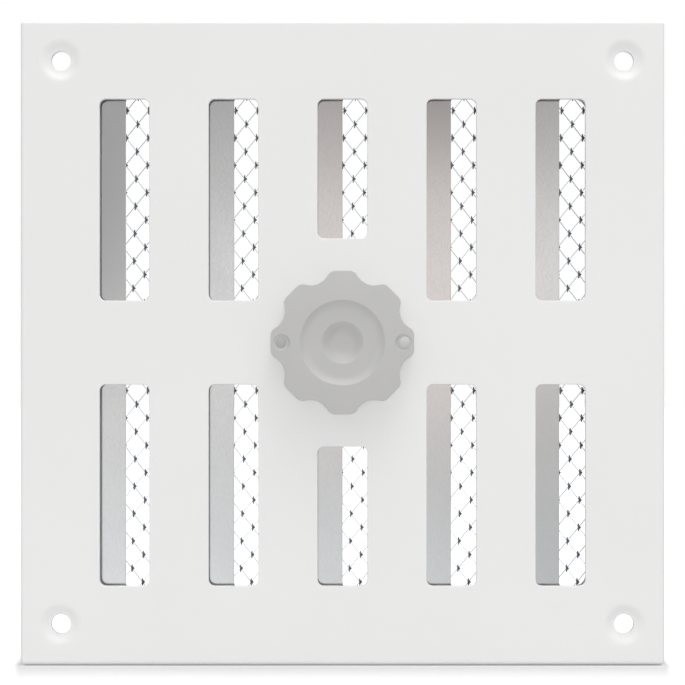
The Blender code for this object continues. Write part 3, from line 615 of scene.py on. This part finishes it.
plate = block("painted_plate", plate_low, plate_high)
with editing(plate):
    pick(plate, "EDGE", lambda edge: min(vert.co.y for vert in edge.verts) < sheet_back)
    bpy.ops.mesh.bevel(offset=BEND, segments=6, affect="EDGES")
    pick(plate, "FACE", lambda face: face.normal.y > 0.9)
    bpy.ops.mesh.inset(thickness=SHEET)
    bpy.ops.mesh.extrude_region_move(TRANSFORM_OT_translate={"value": (0, sheet_back - wall, 0)})
print("pan faces:", len(plate.data.polygons))

# %% Punching the slots and the holes
SCREW_REACH = 72.2 * MM
SEAT_BLANK = 6.2 * MM
SEAT_SIDES = 48
BUSH_HOLE = 3.5 * MM
CRANK_REACH = 10.89 * MM
CRANK_SLOT_HALF = 2.45 * MM
CRANK_SWEEP = math.radians(106)
punch_front, punch_back = plate_front - CUT_PAST, sheet_back + CUT_PAST
screw_places = [(x, z) for x in (-SCREW_REACH, SCREW_REACH) for z in (-SCREW_REACH, SCREW_REACH)]

tools = [slot_punch("slot", *span, punch_front, punch_back, SLOT_CORNER) for span in slot_spans()]
tools += [disc("seat", place, SEAT_BLANK, punch_front, punch_back, SEAT_SIDES) for place in screw_places]
tools.append(disc("bush_hole", (0, 0), BUSH_HOLE, punch_front, punch_back))
crank_slot = block(
    "crank_slot",
    (-0.01 * MM, punch_front, CRANK_REACH - CRANK_SLOT_HALF),
    (0.01 * MM, punch_back, CRANK_REACH + CRANK_SLOT_HALF),
)
with editing(crank_slot):
    pick(crank_slot, "FACE", lambda face: face.normal.x < -0.9)
    bpy.ops.mesh.spin(steps=24, angle=CRANK_SWEEP, center=(0, 0, 0), axis=(0, 1, 0))
    bpy.ops.mesh.select_all(action="SELECT")
    bpy.ops.transform.rotate(value=-CRANK_SWEEP / 2, orient_axis="Y", center_override=(0, 0, 0))
    face_outwards()
crank_reach = [round(max(sign * vert.co.x for vert in crank_slot.data.vertices) / MM, 2) for sign in (-1, 1)]
print("crank slot reaches left and right, mm:", crank_reach)
tools.append(crank_slot)
punch(plate, tools)
print("plate after punching:", len(plate.data.polygons), "faces")

# %% [markdown]
# A punch rolls the sheet's edge over a little, and paint gathers on that edge, so each slot has a soft rim
# that catches the light below and a shadow above. Only the slots' own front edges are bevelled: they are
# found as the edges between the flat front and an upright wall, away from the knob's middle and the screw
# seats.

# %% Soft rims on the slots
RIM = 0.25 * MM
KNOB_COVER = 14 * MM
SEAT_MARGIN = 0.2 * MM


def near_seat(point):
    return any(math.hypot(point.x - x, point.z - z) < SEAT_BLANK + SEAT_MARGIN for x, z in screw_places)


def slot_rim(edge):
    if len(edge.link_faces) != 2:
        return False
    turns = sorted(face.normal.y for face in edge.link_faces)
    middle = (edge.verts[0].co + edge.verts[1].co) / 2
    on_front = turns[0] < -0.9 and abs(turns[1]) < 0.1
    return on_front and math.hypot(middle.x, middle.z) > KNOB_COVER and not near_seat(middle)


with editing(plate):
    rims = pick(plate, "EDGE", slot_rim)
    bpy.ops.mesh.bevel(offset=RIM, segments=4, affect="EDGES", clamp_overlap=False)
print("rim edges rounded:", rims)

# %% [markdown]
# A dimple is pressed, so the front sinks and the back swells by the same amount. The wall of each blank
# hole is deleted, which leaves two open rings. Each ring is extruded inwards step by step along the
# dimple's profile, and the two last rings are bridged to make the edge of the screw hole.

# %% Dimples for the wall screws
SCREW_HOLE = 2.5 * MM
DISHED_FRONT = [(5.7, 0.005), (5.35, 0.03), (5.0, 0.09), (4.6, 0.23), (4.2, 0.42), (3.8, 0.62), (3.45, 0.79)]
DISHED_FRONT += [(3.15, 0.9), (2.9, 0.96), (2.65, 1.0), (2.54, 1.04), (2.5, 1.13)]
SWOLLEN_BACK = [(6.05, 0.04), (5.8, 0.12), (5.4, 0.3), (5.0, 0.5), (4.6, 0.7), (4.2, 0.87), (3.8, 0.96)]
SWOLLEN_BACK += [(3.3, 1.0), (2.6, 1.0), (2.5, 0.94)]


def open_ring(centre, radius, depth):
    """A rule for the open edges of a ring of one radius about a place on the plate."""

    def rule(edge):
        middle = (edge.verts[0].co + edge.verts[1].co) / 2
        reach = math.hypot(middle.x - centre[0], middle.z - centre[1])
        on_ring = abs(reach - radius) < 0.05 * MM and abs(middle.y - depth) < 0.02 * MM
        return edge.is_boundary and on_ring

    return rule


def sink_ring(obj, centre, radius, depth, profile):
    """Extrudes an open ring inwards through (radius, depth) steps in millimetres. Returns where it ends."""
    pick(obj, "EDGE", open_ring(centre, radius, depth))
    start = depth
    for next_radius, next_depth in profile:
        move = start + next_depth * MM - depth
        bpy.ops.mesh.extrude_edges_move(TRANSFORM_OT_translate={"value": (0, move, 0)})
        depth += move
        shrink = next_radius * MM / radius
        bpy.ops.transform.resize(value=(shrink, 1, shrink), center_override=(centre[0], depth, centre[1]))
        radius = next_radius * MM
    return depth


def seat_wall(face):
    return abs(face.normal.y) < 0.1 and near_seat(face.calc_center_median())


with editing(plate):
    walls = pick(plate, "FACE", seat_wall)
    bpy.ops.mesh.delete(type="FACE")
    for place in screw_places:
        front_end = sink_ring(plate, place, SEAT_BLANK, plate_front, DISHED_FRONT)
        back_end = sink_ring(plate, place, SEAT_BLANK, sheet_back, SWOLLEN_BACK)
        front_rule = open_ring(place, SCREW_HOLE, front_end)
        back_rule = open_ring(place, SCREW_HOLE, back_end)
        pick(plate, "EDGE", lambda edge: front_rule(edge) or back_rule(edge))
        bpy.ops.mesh.bridge_edge_loops()
    face_outwards()
shade(plate)
print("seat wall faces replaced:", walls)
hand_over(plate, "grille", ["front_plate"], white_powder)

# %% [markdown]
# ## The shutter
# The shutter is a second sheet with the same ten slots. Its slots are set to one side, so that at half
# travel each slot of the plate shows shutter on its left and net on its right. They overrun the plate's
# slots at the ends, and a long window lets the spindle through while the sheet slides.

# %% Shutter blank and its openings
SHUTTER_SLOT = 13.9 * MM
OVERRUN = 1.05 * MM
WINDOW_RUN = 7.3 * MM
WINDOW_HALF = 3.5 * MM
YOKE_HALF = 2.45 * MM
YOKE_LOW, YOKE_HIGH = 8.34 * MM, 10.89 * MM
SHEET_CORNER, END_BAND, SQUARE_TURN = 2 * MM, 5 * MM, 1.2
shutter_low, shutter_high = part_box("shutter_plate")

shutter = block("sliding_shutter", shutter_low, shutter_high)
through = shutter_low.y - CUT_PAST, shutter_high.y + CUT_PAST
tools = []
for left, right, bottom, top in slot_spans():
    middle = (left + right) / 2
    span = middle, middle + SHUTTER_SLOT, bottom - OVERRUN, top + OVERRUN
    tools.append(slot_punch("shutter_slot", *span, *through, SLOT_CORNER))
window_end = WINDOW_RUN + WINDOW_HALF
window = -window_end, window_end, -WINDOW_HALF, WINDOW_HALF
tools.append(slot_punch("window", *window, *through, WINDOW_HALF * 0.99))
yoke = -YOKE_HALF, YOKE_HALF, YOKE_LOW - YOKE_HALF, YOKE_HIGH + YOKE_HALF
tools.append(slot_punch("yoke", *yoke, *through, YOKE_HALF * 0.99))
punch(shutter, tools)


def sheet_corner(edge):
    at_end = abs(edge.verts[0].co.x) > shutter_high.x - END_BAND
    return runs_back(edge) and at_end and edge.calc_face_angle(0) > SQUARE_TURN


with editing(shutter):
    pick(shutter, "EDGE", sheet_corner)
    bpy.ops.mesh.bevel(offset=SHEET_CORNER, segments=6, affect="EDGES")
break_edges(shutter, 0.06 * MM, segments=1)
shade(shutter)
hand_over(shutter, "shutter", ["shutter_plate"], shutter_zinc)

# %% [markdown]
# ## The guide rails
# Each rail is a strip folded into a channel, with the shutter's edge running in it. The fold is drawn as
# an open line of three straights, its two bends are rounded by a vertex bevel, the line is extruded along
# the rail, and Solidify gives the strip its thickness. This is how the strip itself is made, so the bends
# come out right.

# %% Folded channels
RAIL_SHEET = 0.8 * MM
RAIL_BEND = 0.6 * MM


def folded_rail(name, node):
    low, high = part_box(node)
    above = low.z > 0
    lip, spine = (low.z, high.z - RAIL_SHEET / 2) if above else (high.z, low.z + RAIL_SHEET / 2)
    front, back = low.y + RAIL_SHEET / 2, high.y - RAIL_SHEET / 2
    fold = [(front, lip), (front, spine), (back, spine), (back, lip)]
    rail = drawn_line(name, [(low.x, y, z) for y, z in fold])
    with editing(rail):
        pick(rail, "VERT", lambda vert: abs(vert.co.z - spine) < 0.01 * MM)
        bpy.ops.mesh.bevel(offset=RAIL_BEND, segments=5, affect="VERTICES")
        pick(rail, "EDGE", lambda edge: True)
        bpy.ops.mesh.extrude_edges_move(TRANSFORM_OT_translate={"value": (high.x - low.x, 0, 0)})
        face_outwards()
    apply_modifier(rail, "SOLIDIFY", thickness=RAIL_SHEET, offset=0.0, use_even_offset=True)
    break_edges(rail, 0.08 * MM, segments=1, sharper_than=50)
    shade(rail)
    hand_over(rail, "grille", [node], frame_zinc)


for side in ("upper", "lower"):
    folded_rail(f"channel_rail_{side}", f"guide_rail_{side}")

# %% [markdown]
# ## The rear frame
# Behind the net lies a flat frame with its corners cut off, to leave the wall screws free. Beveling the
# four upright edges of a block by one wide flat does just that.

# %% Rear frame
CORNER_CUT = 24.4 * MM
FRAME_WINDOW_X, FRAME_WINDOW_Z = 63.35 * MM, 63.5 * MM
FRAME_CORNER, STUD_HOLE = 3 * MM, 1.8 * MM
frame_low, frame_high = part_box("mesh_frame")
stud_boxes = {}
for row in ("upper", "lower"):
    for side in ("left", "right"):
        stud_boxes[f"{row}_{side}"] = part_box(f"weld_stud_{row}_{side}")
stud_places = {key: ((low.x + high.x) / 2, (low.z + high.z) / 2) for key, (low, high) in stud_boxes.items()}

rear = block("rear_frame", frame_low, frame_high)
with editing(rear):
    pick(rear, "EDGE", runs_back)
    bpy.ops.mesh.bevel(offset=CORNER_CUT, segments=1, affect="EDGES")
through = frame_low.y - CUT_PAST, frame_high.y + CUT_PAST
window = -FRAME_WINDOW_X, FRAME_WINDOW_X, -FRAME_WINDOW_Z, FRAME_WINDOW_Z
tools = [slot_punch("frame_window", *window, *through, FRAME_CORNER)]
tools += [disc("stud_hole", place, STUD_HOLE, *through, 32) for place in stud_places.values()]
punch(rear, tools)
break_edges(rear, 0.12 * MM, segments=2)
shade(rear)
hand_over(rear, "grille", ["mesh_frame"], frame_zinc)

# %% [markdown]
# ## The net
# Expanded metal is one sheet, slit and stretched: slanting strands run between short solid bonds. One
# unit, two bonds and the four strands between them, is modelled with few faces and repeated by two Array
# modifiers, since the net has close to nine hundred bonds. To lie where the photograph shows it, the net
# leans a little and is stretched behind the plate's middle band, so it is shifted row by row. Bisecting
# trims it to its frame. The strands are bright metal that mirrors the room, and the bonds are dark.

# %% One unit of the net
NET_ACROSS, NET_UP = 5.66 * MM, 7.12 * MM
STRAND, STRAND_DEPTH_SHARE = 0.12 * MM, 0.7
BOND_WIDTH, BOND_HALF, TAIL, TAIL_SHARE = 0.33 * MM, 0.42 * MM, 0.55 * MM, 0.7
POINT_REACH, POINT_SHARE = 0.50 * MM, 0.2
NET_START = (-24.65 * MM, 56.85 * MM)
net_low, net_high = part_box("insect_mesh")
net_high.y = frame_low.y
net_middle = (net_low.y + net_high.y) / 2
net_depth = net_high.y - net_low.y


def net_bond(x, z):
    """A short upright bar that is drawn out to a point on its right."""
    low = x - BOND_WIDTH / 2, net_low.y, z - BOND_HALF
    high = x + BOND_WIDTH / 2, net_high.y, z + BOND_HALF
    bond = block("bond", low, high)
    with editing(bond):
        pick(bond, "FACE", lambda face: face.normal.x > 0.9)
        bpy.ops.mesh.extrude_region_move(TRANSFORM_OT_translate={"value": (POINT_REACH, 0, 0)})
        bpy.ops.transform.resize(value=(1, 0.5, POINT_SHARE), center_override=(x, net_middle, z))
        for side in (-1, 1):
            pick(bond, "FACE", lambda face: face.normal.z * side > 0.9)
            bpy.ops.mesh.extrude_region_move(TRANSFORM_OT_translate={"value": (0, 0, side * TAIL)})
            bpy.ops.transform.resize(value=(TAIL_SHARE, 1, 1), center_override=(x, net_middle, z))
    return bond


def net_strand(across, up):
    """A thin flat bar from the first bond to the next, standing on its edge."""
    middle = (across / 2, net_middle, up / 2)
    size = (STRAND, net_depth * STRAND_DEPTH_SHARE, math.hypot(across, up))
    tilt = (0, math.atan2(across, up), 0)
    bpy.ops.object.select_all(action="DESELECT")
    bpy.ops.mesh.primitive_cube_add(size=1, location=middle, scale=size, rotation=tilt)
    return settle("strand")


corners = [(NET_ACROSS / 2, NET_UP / 2), (-NET_ACROSS / 2, NET_UP / 2)]
corners += [(-NET_ACROSS / 2, -NET_UP / 2), (NET_ACROSS / 2, -NET_UP / 2)]
net_strands = join([net_strand(*corner) for corner in corners], "net_strands")
net_bonds = join([net_bond(0, 0), net_bond(NET_ACROSS / 2, NET_UP / 2)], "net_bonds")
print("faces in one unit:", len(net_strands.data.polygons) + len(net_bonds.data.polygons))


# %% Repeating and trimming the net
NET_SPARE = 6 * MM
STRETCHED_BAND = 14.2 * MM
LEAN_SHIFT, STRETCH_SHIFT = (-0.095 * MM, 0, 0), (0.1375 * MM, 0, -0.25 * MM)
LEFT_UNITS = math.ceil((NET_START[0] - net_low.x + NET_SPARE) / NET_ACROSS)
LOWER_UNITS = math.ceil((NET_START[1] - net_low.z + NET_SPARE) / NET_UP)
NET_COLUMNS = LEFT_UNITS + math.ceil((net_high.x + NET_SPARE - NET_START[0]) / NET_ACROSS)
NET_ROWS = LOWER_UNITS + math.ceil((net_high.z + NET_SPARE - NET_START[1]) / NET_UP)


def hang(obj):
    """Shifts, half row by half row, all that lies below, which leans the net and stretches its middle."""
    level = net_high.z + NET_SPARE
    level += (NET_START[1] - level) % (NET_UP / 2) - NET_UP / 4
    while level > net_low.z - NET_SPARE:
        shift = STRETCH_SHIFT if abs(level) < STRETCHED_BAND else LEAN_SHIFT
        pick(obj, "VERT", lambda vert: vert.co.z < level)
        bpy.ops.transform.translate(value=shift)
        level += shift[2] - NET_UP / 2


def spread(obj):
    """Repeats the unit over the frame, hangs it and trims it to the net's own size."""
    steps = [((NET_ACROSS, 0, 0), NET_COLUMNS), ((0, 0, NET_UP), NET_ROWS)]
    for step, count in steps:
        offset = {"use_constant_offset": True, "constant_offset_displace": step}
        apply_modifier(obj, "ARRAY", count=count, use_relative_offset=False, **offset)
    obj.location = (NET_START[0] - NET_ACROSS * LEFT_UNITS, 0, NET_START[1] - NET_UP * LOWER_UNITS)
    activate(obj)
    bpy.ops.object.transform_apply(location=True, rotation=False, scale=False)
    sides = [((net_high.x, 0, 0), (1, 0, 0)), ((net_low.x, 0, 0), (-1, 0, 0))]
    sides += [((0, 0, net_high.z), (0, 0, 1)), ((0, 0, net_low.z), (0, 0, -1))]
    with editing(obj):
        hang(obj)
        for point, outwards in sides:
            bpy.ops.mesh.select_all(action="SELECT")
            bpy.ops.mesh.bisect(plane_co=point, plane_no=outwards, clear_outer=True, threshold=MERGE)
            bpy.ops.mesh.select_all(action="SELECT")
            bpy.ops.mesh.fill_holes(sides=0)


def net_finish(name, base, roughness, metallic, tint):
    material, shader, wire = new_finish(name, roughness, metallic)
    tone = grain(wire, 3 * MM, detail=3.0)
    dark = tuple(channel * base * 0.9 for channel in tint)
    light = tuple(channel * base * 1.06 for channel in tint)
    wire.feed(shader.inputs["Base Color"], mixed(wire, tone, (*dark, 1), (*light, 1)))
    wire.feed(shader.inputs["Roughness"], tone * 0.2 + (roughness - 0.1))
    return material


# Strands and bonds are one sheet of metal. The bonds' much darker copy of it is painted shade and reflection,
# standing in for the dark room that their tilted faces mirror.
STRAND_TINT, BOND_TINT = (0.84, 1.0, 1.14), (0.95, 1.0, 1.06)
strand_finish = net_finish("net_bright_strand", base=0.47, roughness=0.35, metallic=0.8, tint=STRAND_TINT)
bond_painted_shade_finish = net_finish("net_dark_bond", base=0.13, roughness=0.45, metallic=0.3, tint=BOND_TINT)
for obj, finish in ((net_strands, strand_finish), (net_bonds, bond_painted_shade_finish)):
    spread(obj)
    activate(obj)
    bpy.ops.object.shade_flat()
    hand_over(obj, "grille", ["insect_mesh"], finish)

# %% [markdown]
# ## The knob
# The knob is moulded: eight straight tips with hollow flutes between them, a face that falls away a little
# towards the tips, a shallow dish in the face and a bowl-shaped eye in the dish. It starts as an
# eight-sided bar. Eight round punches make the flutes and a bevel rounds the corners of the tips.
# Intersecting it with a turned blank gives it the crowned face, whose outline is then bevelled. The dish
# and the eye come from one turned punch whose profile is the soft S of a moulded wall, so the recess needs
# no further rounding.

# %% Fluted outline
TIP_FLAT = 18.02 * MM
FLUTE_RADIUS, FLUTE_REACH, FLUTE_SIDES = 4.97 * MM, 20.87 * MM, 20
TIP_CORNER, FRONT_EDGE = 1.3 * MM, 0.12 * MM
CROWN = [(0.0, 0.01), (11.2, 0.01), (13.2, 0.14), (15.8, 0.42), (19.4, 0.88)]
EIGHTH = math.pi / 4
knob_low, knob_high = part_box("control_knob")
knob_front, knob_back = knob_low.y, knob_high.y

knob = disc("fluted_knob", (0, 0), TIP_FLAT / math.cos(EIGHTH / 2), knob_front, knob_back, 8, turn=EIGHTH / 2)
flutes = []
for index in range(8):
    angle = EIGHTH * (index + 0.5)
    place = (FLUTE_REACH * math.cos(angle), FLUTE_REACH * math.sin(angle))
    flutes.append(disc("flute", place, FLUTE_RADIUS, knob_front - MM, knob_back + MM, FLUTE_SIDES, -angle))
punch(knob, flutes)


def tip_corner(edge):
    reach = math.hypot(edge.verts[0].co.x, edge.verts[0].co.z)
    return runs_back(edge, MM) and reach > TIP_FLAT + 0.1 * MM


with editing(knob):
    corners_found = pick(knob, "EDGE", tip_corner)
    bpy.ops.mesh.bevel(offset=TIP_CORNER, segments=4, affect="EDGES", clamp_overlap=False)
print("tip corners rounded:", corners_found)


def front_outline(edge):
    turns = sorted(face.normal.y for face in edge.link_faces)
    return turns[0] < -0.9 and abs(turns[-1]) < 0.1


section = [(radius * MM, knob_front + fall * MM) for radius, fall in CROWN]
section += [(CROWN[-1][0] * MM, knob_back + MM), (0, knob_back + MM)]
punch(knob, [turned("crown", section, steps=96)], "INTERSECT")
with editing(knob):
    outline = pick(knob, "EDGE", front_outline)
    bpy.ops.mesh.bevel(offset=FRONT_EDGE, segments=3, affect="EDGES", clamp_overlap=False)
print("outline edges rounded:", outline, "open edges:", open_edges(knob))

# %% Dish, eye, counterbores and the hollow back
PIN_REACH = 15.5 * MM
DISH = [(10.8, -0.06), (10.68, 0.04), (10.4, 0.26), (10.0, 0.58), (9.6, 0.83), (9.2, 0.98), (8.8, 1.05)]
DISH += [(8.4, 1.07), (5.5, 1.07), (5.3, 1.13), (4.95, 1.36), (4.5, 1.74), (4.0, 2.17), (3.5, 2.58)]
DISH += [(3.1, 2.85), (2.7, 3.02), (2.3, 3.12), (1.9, 3.15), (0.0, 3.15)]
COUNTERBORE = [(2.6, -0.06), (2.38, 0.12), (2.2, 0.3), (2.02, 0.52), (1.88, 0.68), (1.75, 0.74), (0.0, 0.74)]
POCKET, POCKET_FLOOR = 14.3 * MM, -14.6 * MM
HEAD_POCKET, HEAD_FLOOR = 4.3 * MM, -15.7 * MM
ARM_HALF = 2.05 * MM


def recess_tool(name, profile, centre=(0, 0), steps=96):
    """A turned punch for a recess given as (radius, depth) in millimetres below the knob's face."""
    section = [(radius * MM, knob_front + depth * MM) for radius, depth in profile]
    rim = profile[0][0] * MM
    section = [(0, knob_front - MM), (rim, knob_front - MM)] + section
    return turned(name, section, centre, steps)


punch(knob, [
    recess_tool("dish", DISH),
    recess_tool("left_bore", COUNTERBORE, (-PIN_REACH, 0), 48),
    recess_tool("right_bore", COUNTERBORE, (PIN_REACH, 0), 48),
])
punch(knob, [disc("pocket", (0, 0), POCKET, POCKET_FLOOR, knob_back + MM, 96)])
punch(knob, [disc("head_pocket", (0, 0), HEAD_POCKET, HEAD_FLOOR, knob_back + MM, 48)])
arm = -PIN_REACH - ARM_HALF, PIN_REACH + ARM_HALF, -ARM_HALF, ARM_HALF
punch(knob, [slot_punch("arm_pocket", *arm, POCKET_FLOOR, knob_back + MM, ARM_HALF * 0.98)])
shade(knob, 35)
hand_over(knob, "knob", ["control_knob"], knob_grey)

# %% [markdown]
# ## The two pins in the knob
# Two domed pins hold the drive plate in the back of the knob. They are turned pieces, a dome on a shank,
# each sunk in its counterbore.

# %% Domed pins
PIN_DOME = [(0, 0), (0.55, 0.04), (1.0, 0.15), (1.35, 0.32), (1.56, 0.5)]
PIN_DOME += [(1.64, 0.66), (1.64, 0.9), (1.25, 1.0)]
PIN_SUNK = {"left": 0.2 * MM, "right": 0.0}
# Each pin takes its own grey: painted shade on the left pin, painted light on the right.
for side, sign in (("left", -1), ("right", 1)):
    low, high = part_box(f"knob_pin_{side}")
    section = [(radius * MM, low.y + PIN_SUNK[side] + depth * MM) for radius, depth in PIN_DOME]
    section += [(1.25 * MM, high.y - 0.2 * MM), (1.05 * MM, high.y), (0, high.y)]
    pin = turned(f"domed_pin_{side}", section, (sign * PIN_REACH, 0), 40)
    shade(pin)
    hand_over(pin, "knob", [f"knob_pin_{side}"], shaded_and_lit_pin_greys[side])

# %% [markdown]
# ## Studs, sleeves and nuts
# Four studs are welded to the back of the plate. Each carries a sleeve that keeps the rear frame at its
# distance, and a nut on a washer that holds the frame. They are turned, except for the nut: a hexagon bar
# whose corners are taken off by intersecting it with a turned blank, just as a nut is chamfered on a
# lathe.


# %% Turned sections
def ring(inner, outer, front, back, ease):
    """The closed section of a ring with its corners eased."""
    return [
        (inner + ease, front),
        (outer - ease, front),
        (outer, front + ease),
        (outer, back - ease),
        (outer - ease, back),
        (inner + ease, back),
        (inner, back - ease),
        (inner, front + ease),
        (inner + ease, front),
    ]


def middle_and_radius(node):
    low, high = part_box(node)
    return ((low.x + high.x) / 2, (low.z + high.z) / 2), (high.x - low.x) / 2, low.y, high.y


# %% Weld studs with their thread
THREAD_PITCH, THREAD_DEPTH = 0.5 * MM, 0.14 * MM
THREAD_RUN = 3.4 * MM
CREST_END, ROOT_START, ROOT_END = 0.12 * MM, 0.28 * MM, 0.34 * MM
WELD_FOOT, STUD_TIP = 2.2 * MM, 0.3 * MM


def threaded_stud(key):
    place, radius, front, back = middle_and_radius(f"weld_stud_{key}")
    section = [(0, sheet_back), (WELD_FOOT, sheet_back), (WELD_FOOT * 0.9, front), (radius, front + STUD_TIP)]
    root = radius - THREAD_DEPTH
    start = back - THREAD_RUN - STUD_TIP
    for turn in range(int(THREAD_RUN / THREAD_PITCH)):
        crest = start + turn * THREAD_PITCH
        section += [(radius, crest), (radius, crest + CREST_END)]
        section += [(root, crest + ROOT_START), (root, crest + ROOT_END)]
    section += [(root, back - STUD_TIP), (radius * 0.7, back), (0, back)]
    stud = turned(f"threaded_stud_{key}", section, place, 32)
    shade(stud, 30)
    hand_over(stud, "grille", [f"weld_stud_{key}"], bright_zinc)


for key in stud_places:
    threaded_stud(key)

# %% Spacer sleeves
SLEEVE_BORE = 1.7 * MM
for key, place in stud_places.items():
    _, radius, _, _ = middle_and_radius(f"spacer_sleeve_{key}")
    section = ring(SLEEVE_BORE, radius, sheet_back, frame_low.y, 0.2 * MM)
    sleeve = turned(f"turned_sleeve_{key}", section, place, 40)
    shade(sleeve)
    hand_over(sleeve, "grille", [f"spacer_sleeve_{key}"], bright_zinc)

# %% Chamfered nuts on washers
WASHER_RADIUS, NUT_CHAMFER, NUT_SKIN = 3.1 * MM, 0.4 * MM, 0.1 * MM


def chamfered_nut(key):
    place, corner, front, back = middle_and_radius(f"stud_nut_{key}")
    flat = corner * math.cos(math.pi / 6)
    nut = disc(f"chamfered_nut_{key}", place, corner, front, back, 6, turn=math.pi / 6)
    tip, widest = flat * 0.9, corner * 1.02
    blank = [(0, front - NUT_SKIN), (tip, front - NUT_SKIN), (widest, front + NUT_CHAMFER)]
    blank += [(widest, back - NUT_CHAMFER), (tip, back + NUT_SKIN), (0, back + NUT_SKIN)]
    punch(nut, [turned("nut_blank", blank, place, 48)], "INTERSECT", "MANIFOLD")
    punch(nut, [disc("nut_bore", place, SLEEVE_BORE * 0.93, front - MM, back + MM, 32)], solver="MANIFOLD")
    washer = turned("washer", ring(SLEEVE_BORE, WASHER_RADIUS, frame_high.y, front, 0.06 * MM), place, 48)
    nut = join([nut, washer], f"chamfered_nut_{key}")
    shade(nut, 25)
    hand_over(nut, "grille", [f"stud_nut_{key}"], bright_zinc)


for key in stud_places:
    chamfered_nut(key)

# %% [markdown]
# ## What the knob turns on
# A headed spindle runs through a nylon bush in the plate and through the shutter's window. Behind the
# shutter a fibre washer, a wavy spring washer and a clip hold it, with enough drag to keep the knob where
# it is left. All of these are turned, apart from the clip and the drive plate, which are flat pressings:
# those keep the outline of their CAD solids, merged into clean faces and with their edges broken.

# %% Bush and spindle
BUSH_BORE, BUSH_STEM, EASE = 2.15 * MM, BUSH_HOLE - 0.05 * MM, 0.2 * MM
_, flange, bush_front, bush_back = middle_and_radius("pivot_bush")
bush_section = [(BUSH_BORE, bush_front), (flange - EASE, bush_front), (flange, bush_front + EASE)]
bush_section += [(flange, plate_front), (BUSH_STEM, plate_front), (BUSH_STEM, bush_back)]
bush_section += [(BUSH_BORE, bush_back), (BUSH_BORE, bush_front)]
bush = turned("nylon_bush", bush_section, steps=64)
shade(bush)
hand_over(bush, "grille", ["pivot_bush"], nylon)

SHAFT, HEAD_DEPTH, SHAFT_TIP = 2.0 * MM, 0.8 * MM, 0.25 * MM
GROOVE, GROOVE_PLAY = SHAFT * 0.75, 0.05 * MM
_, head, head_front, shaft_end = middle_and_radius("pivot_spindle")
_, _, clip_front, clip_back = middle_and_radius("retaining_clip")
head_back = head_front + HEAD_DEPTH
groove_front, groove_back = clip_front - GROOVE_PLAY, clip_back + GROOVE_PLAY
shaft_section = [(0, head_front), (head - EASE, head_front), (head, head_front + EASE)]
shaft_section += [(head, head_back), (SHAFT, head_back), (SHAFT, groove_front)]
shaft_section += [(GROOVE, groove_front), (GROOVE, groove_back), (SHAFT, groove_back)]
shaft_section += [(SHAFT, shaft_end - SHAFT_TIP), (SHAFT * 0.8, shaft_end), (0, shaft_end)]
spindle = turned("headed_spindle", shaft_section, steps=48)
shade(spindle, 30)
hand_over(spindle, "knob", ["pivot_spindle"], bright_zinc)

# %% Washers behind the shutter
WAVES, WAVE_RISE, WAVE_HALF, SPOKES = 3, 0.26 * MM, 0.15 * MM, 60
_, fibre_radius, _, fibre_back = middle_and_radius("friction_washer")
fibre_section = ring(SHAFT * 1.05, fibre_radius, bush_back, fibre_back, 0.1 * MM)
fibre_washer = turned("fibre_washer", fibre_section, steps=64)
shade(fibre_washer)
hand_over(fibre_washer, "knob", ["friction_washer"], fibre_red)

_, wave_radius, _, _ = middle_and_radius("wave_washer")
wave_middle = (fibre_back + clip_front) / 2
wave_faces = wave_middle - WAVE_HALF, wave_middle + WAVE_HALF
wavy = turned("wavy_washer", ring(SHAFT * 1.2, wave_radius, *wave_faces, 0.03 * MM), steps=SPOKES)
with editing(wavy):
    for index in range(SPOKES):
        angle = index * math.tau / SPOKES
        spoke = Vector((math.cos(angle), 0, math.sin(angle)))
        pick(wavy, "VERT", lambda vert: Vector((vert.co.x, 0, vert.co.z)).angle(spoke) < math.radians(2))
        bpy.ops.transform.translate(value=(0, WAVE_RISE * math.sin(WAVES * angle), 0))
shade(wavy)
hand_over(wavy, "knob", ["wave_washer"], dark_spring)


# %% Pressed pieces: clip and drive plate
def pressing(name, node, ease):
    """A copy of a CAD pressing, merged into clean flat faces and with its edges broken."""
    mesh = bpy.data.objects[node].data.copy()
    piece = bpy.data.objects.new(name, mesh)
    bpy.context.scene.collection.objects.link(piece)
    with editing(piece):
        bpy.ops.mesh.select_all(action="SELECT")
        bpy.ops.mesh.remove_doubles(threshold=MERGE)
        bpy.ops.mesh.dissolve_limited(angle_limit=math.radians(1))
    break_edges(piece, ease, segments=2, sharper_than=50)
    shade(piece)
    return piece


clip = pressing("spring_clip", "retaining_clip", 0.06 * MM)
hand_over(clip, "knob", ["retaining_clip"], dark_spring)
drive = pressing("pressed_drive_plate", "drive_plate", 0.12 * MM)
hand_over(drive, "knob", ["drive_plate"], bright_zinc)

# %% Crank pin and its roller
place, pin_radius, pin_front, pin_back = middle_and_radius("drive_pin")
_, roller_radius, roller_front, roller_back = middle_and_radius("pin_roller")
print("crank pin", round(pin_radius / MM, 2), "roller", round(roller_radius / MM, 2), "mm radius")

PIN_SHANK, PIN_HEAD_DEPTH, UNDER_EASE = 1.4 * MM, 0.5 * MM, 0.1 * MM
under_head = pin_back - PIN_HEAD_DEPTH
crank_section = [(0, pin_front), (PIN_SHANK, pin_front), (PIN_SHANK, under_head)]
crank_section += [(pin_radius - UNDER_EASE, under_head), (pin_radius, under_head + UNDER_EASE)]
crank_section += [(pin_radius, pin_back - 0.15 * MM), (pin_radius - EASE, pin_back), (0, pin_back)]
crank_pin = turned("headed_crank_pin", crank_section, place, 40)
shade(crank_pin, 30)
hand_over(crank_pin, "knob", ["drive_pin"], bright_zinc)

roller_section = ring(PIN_SHANK * 1.04, roller_radius, roller_front, roller_back, 0.1 * MM)
roller = turned("crank_roller", roller_section, place, 40)
shade(roller)
hand_over(roller, "knob", ["pin_roller"], nylon)
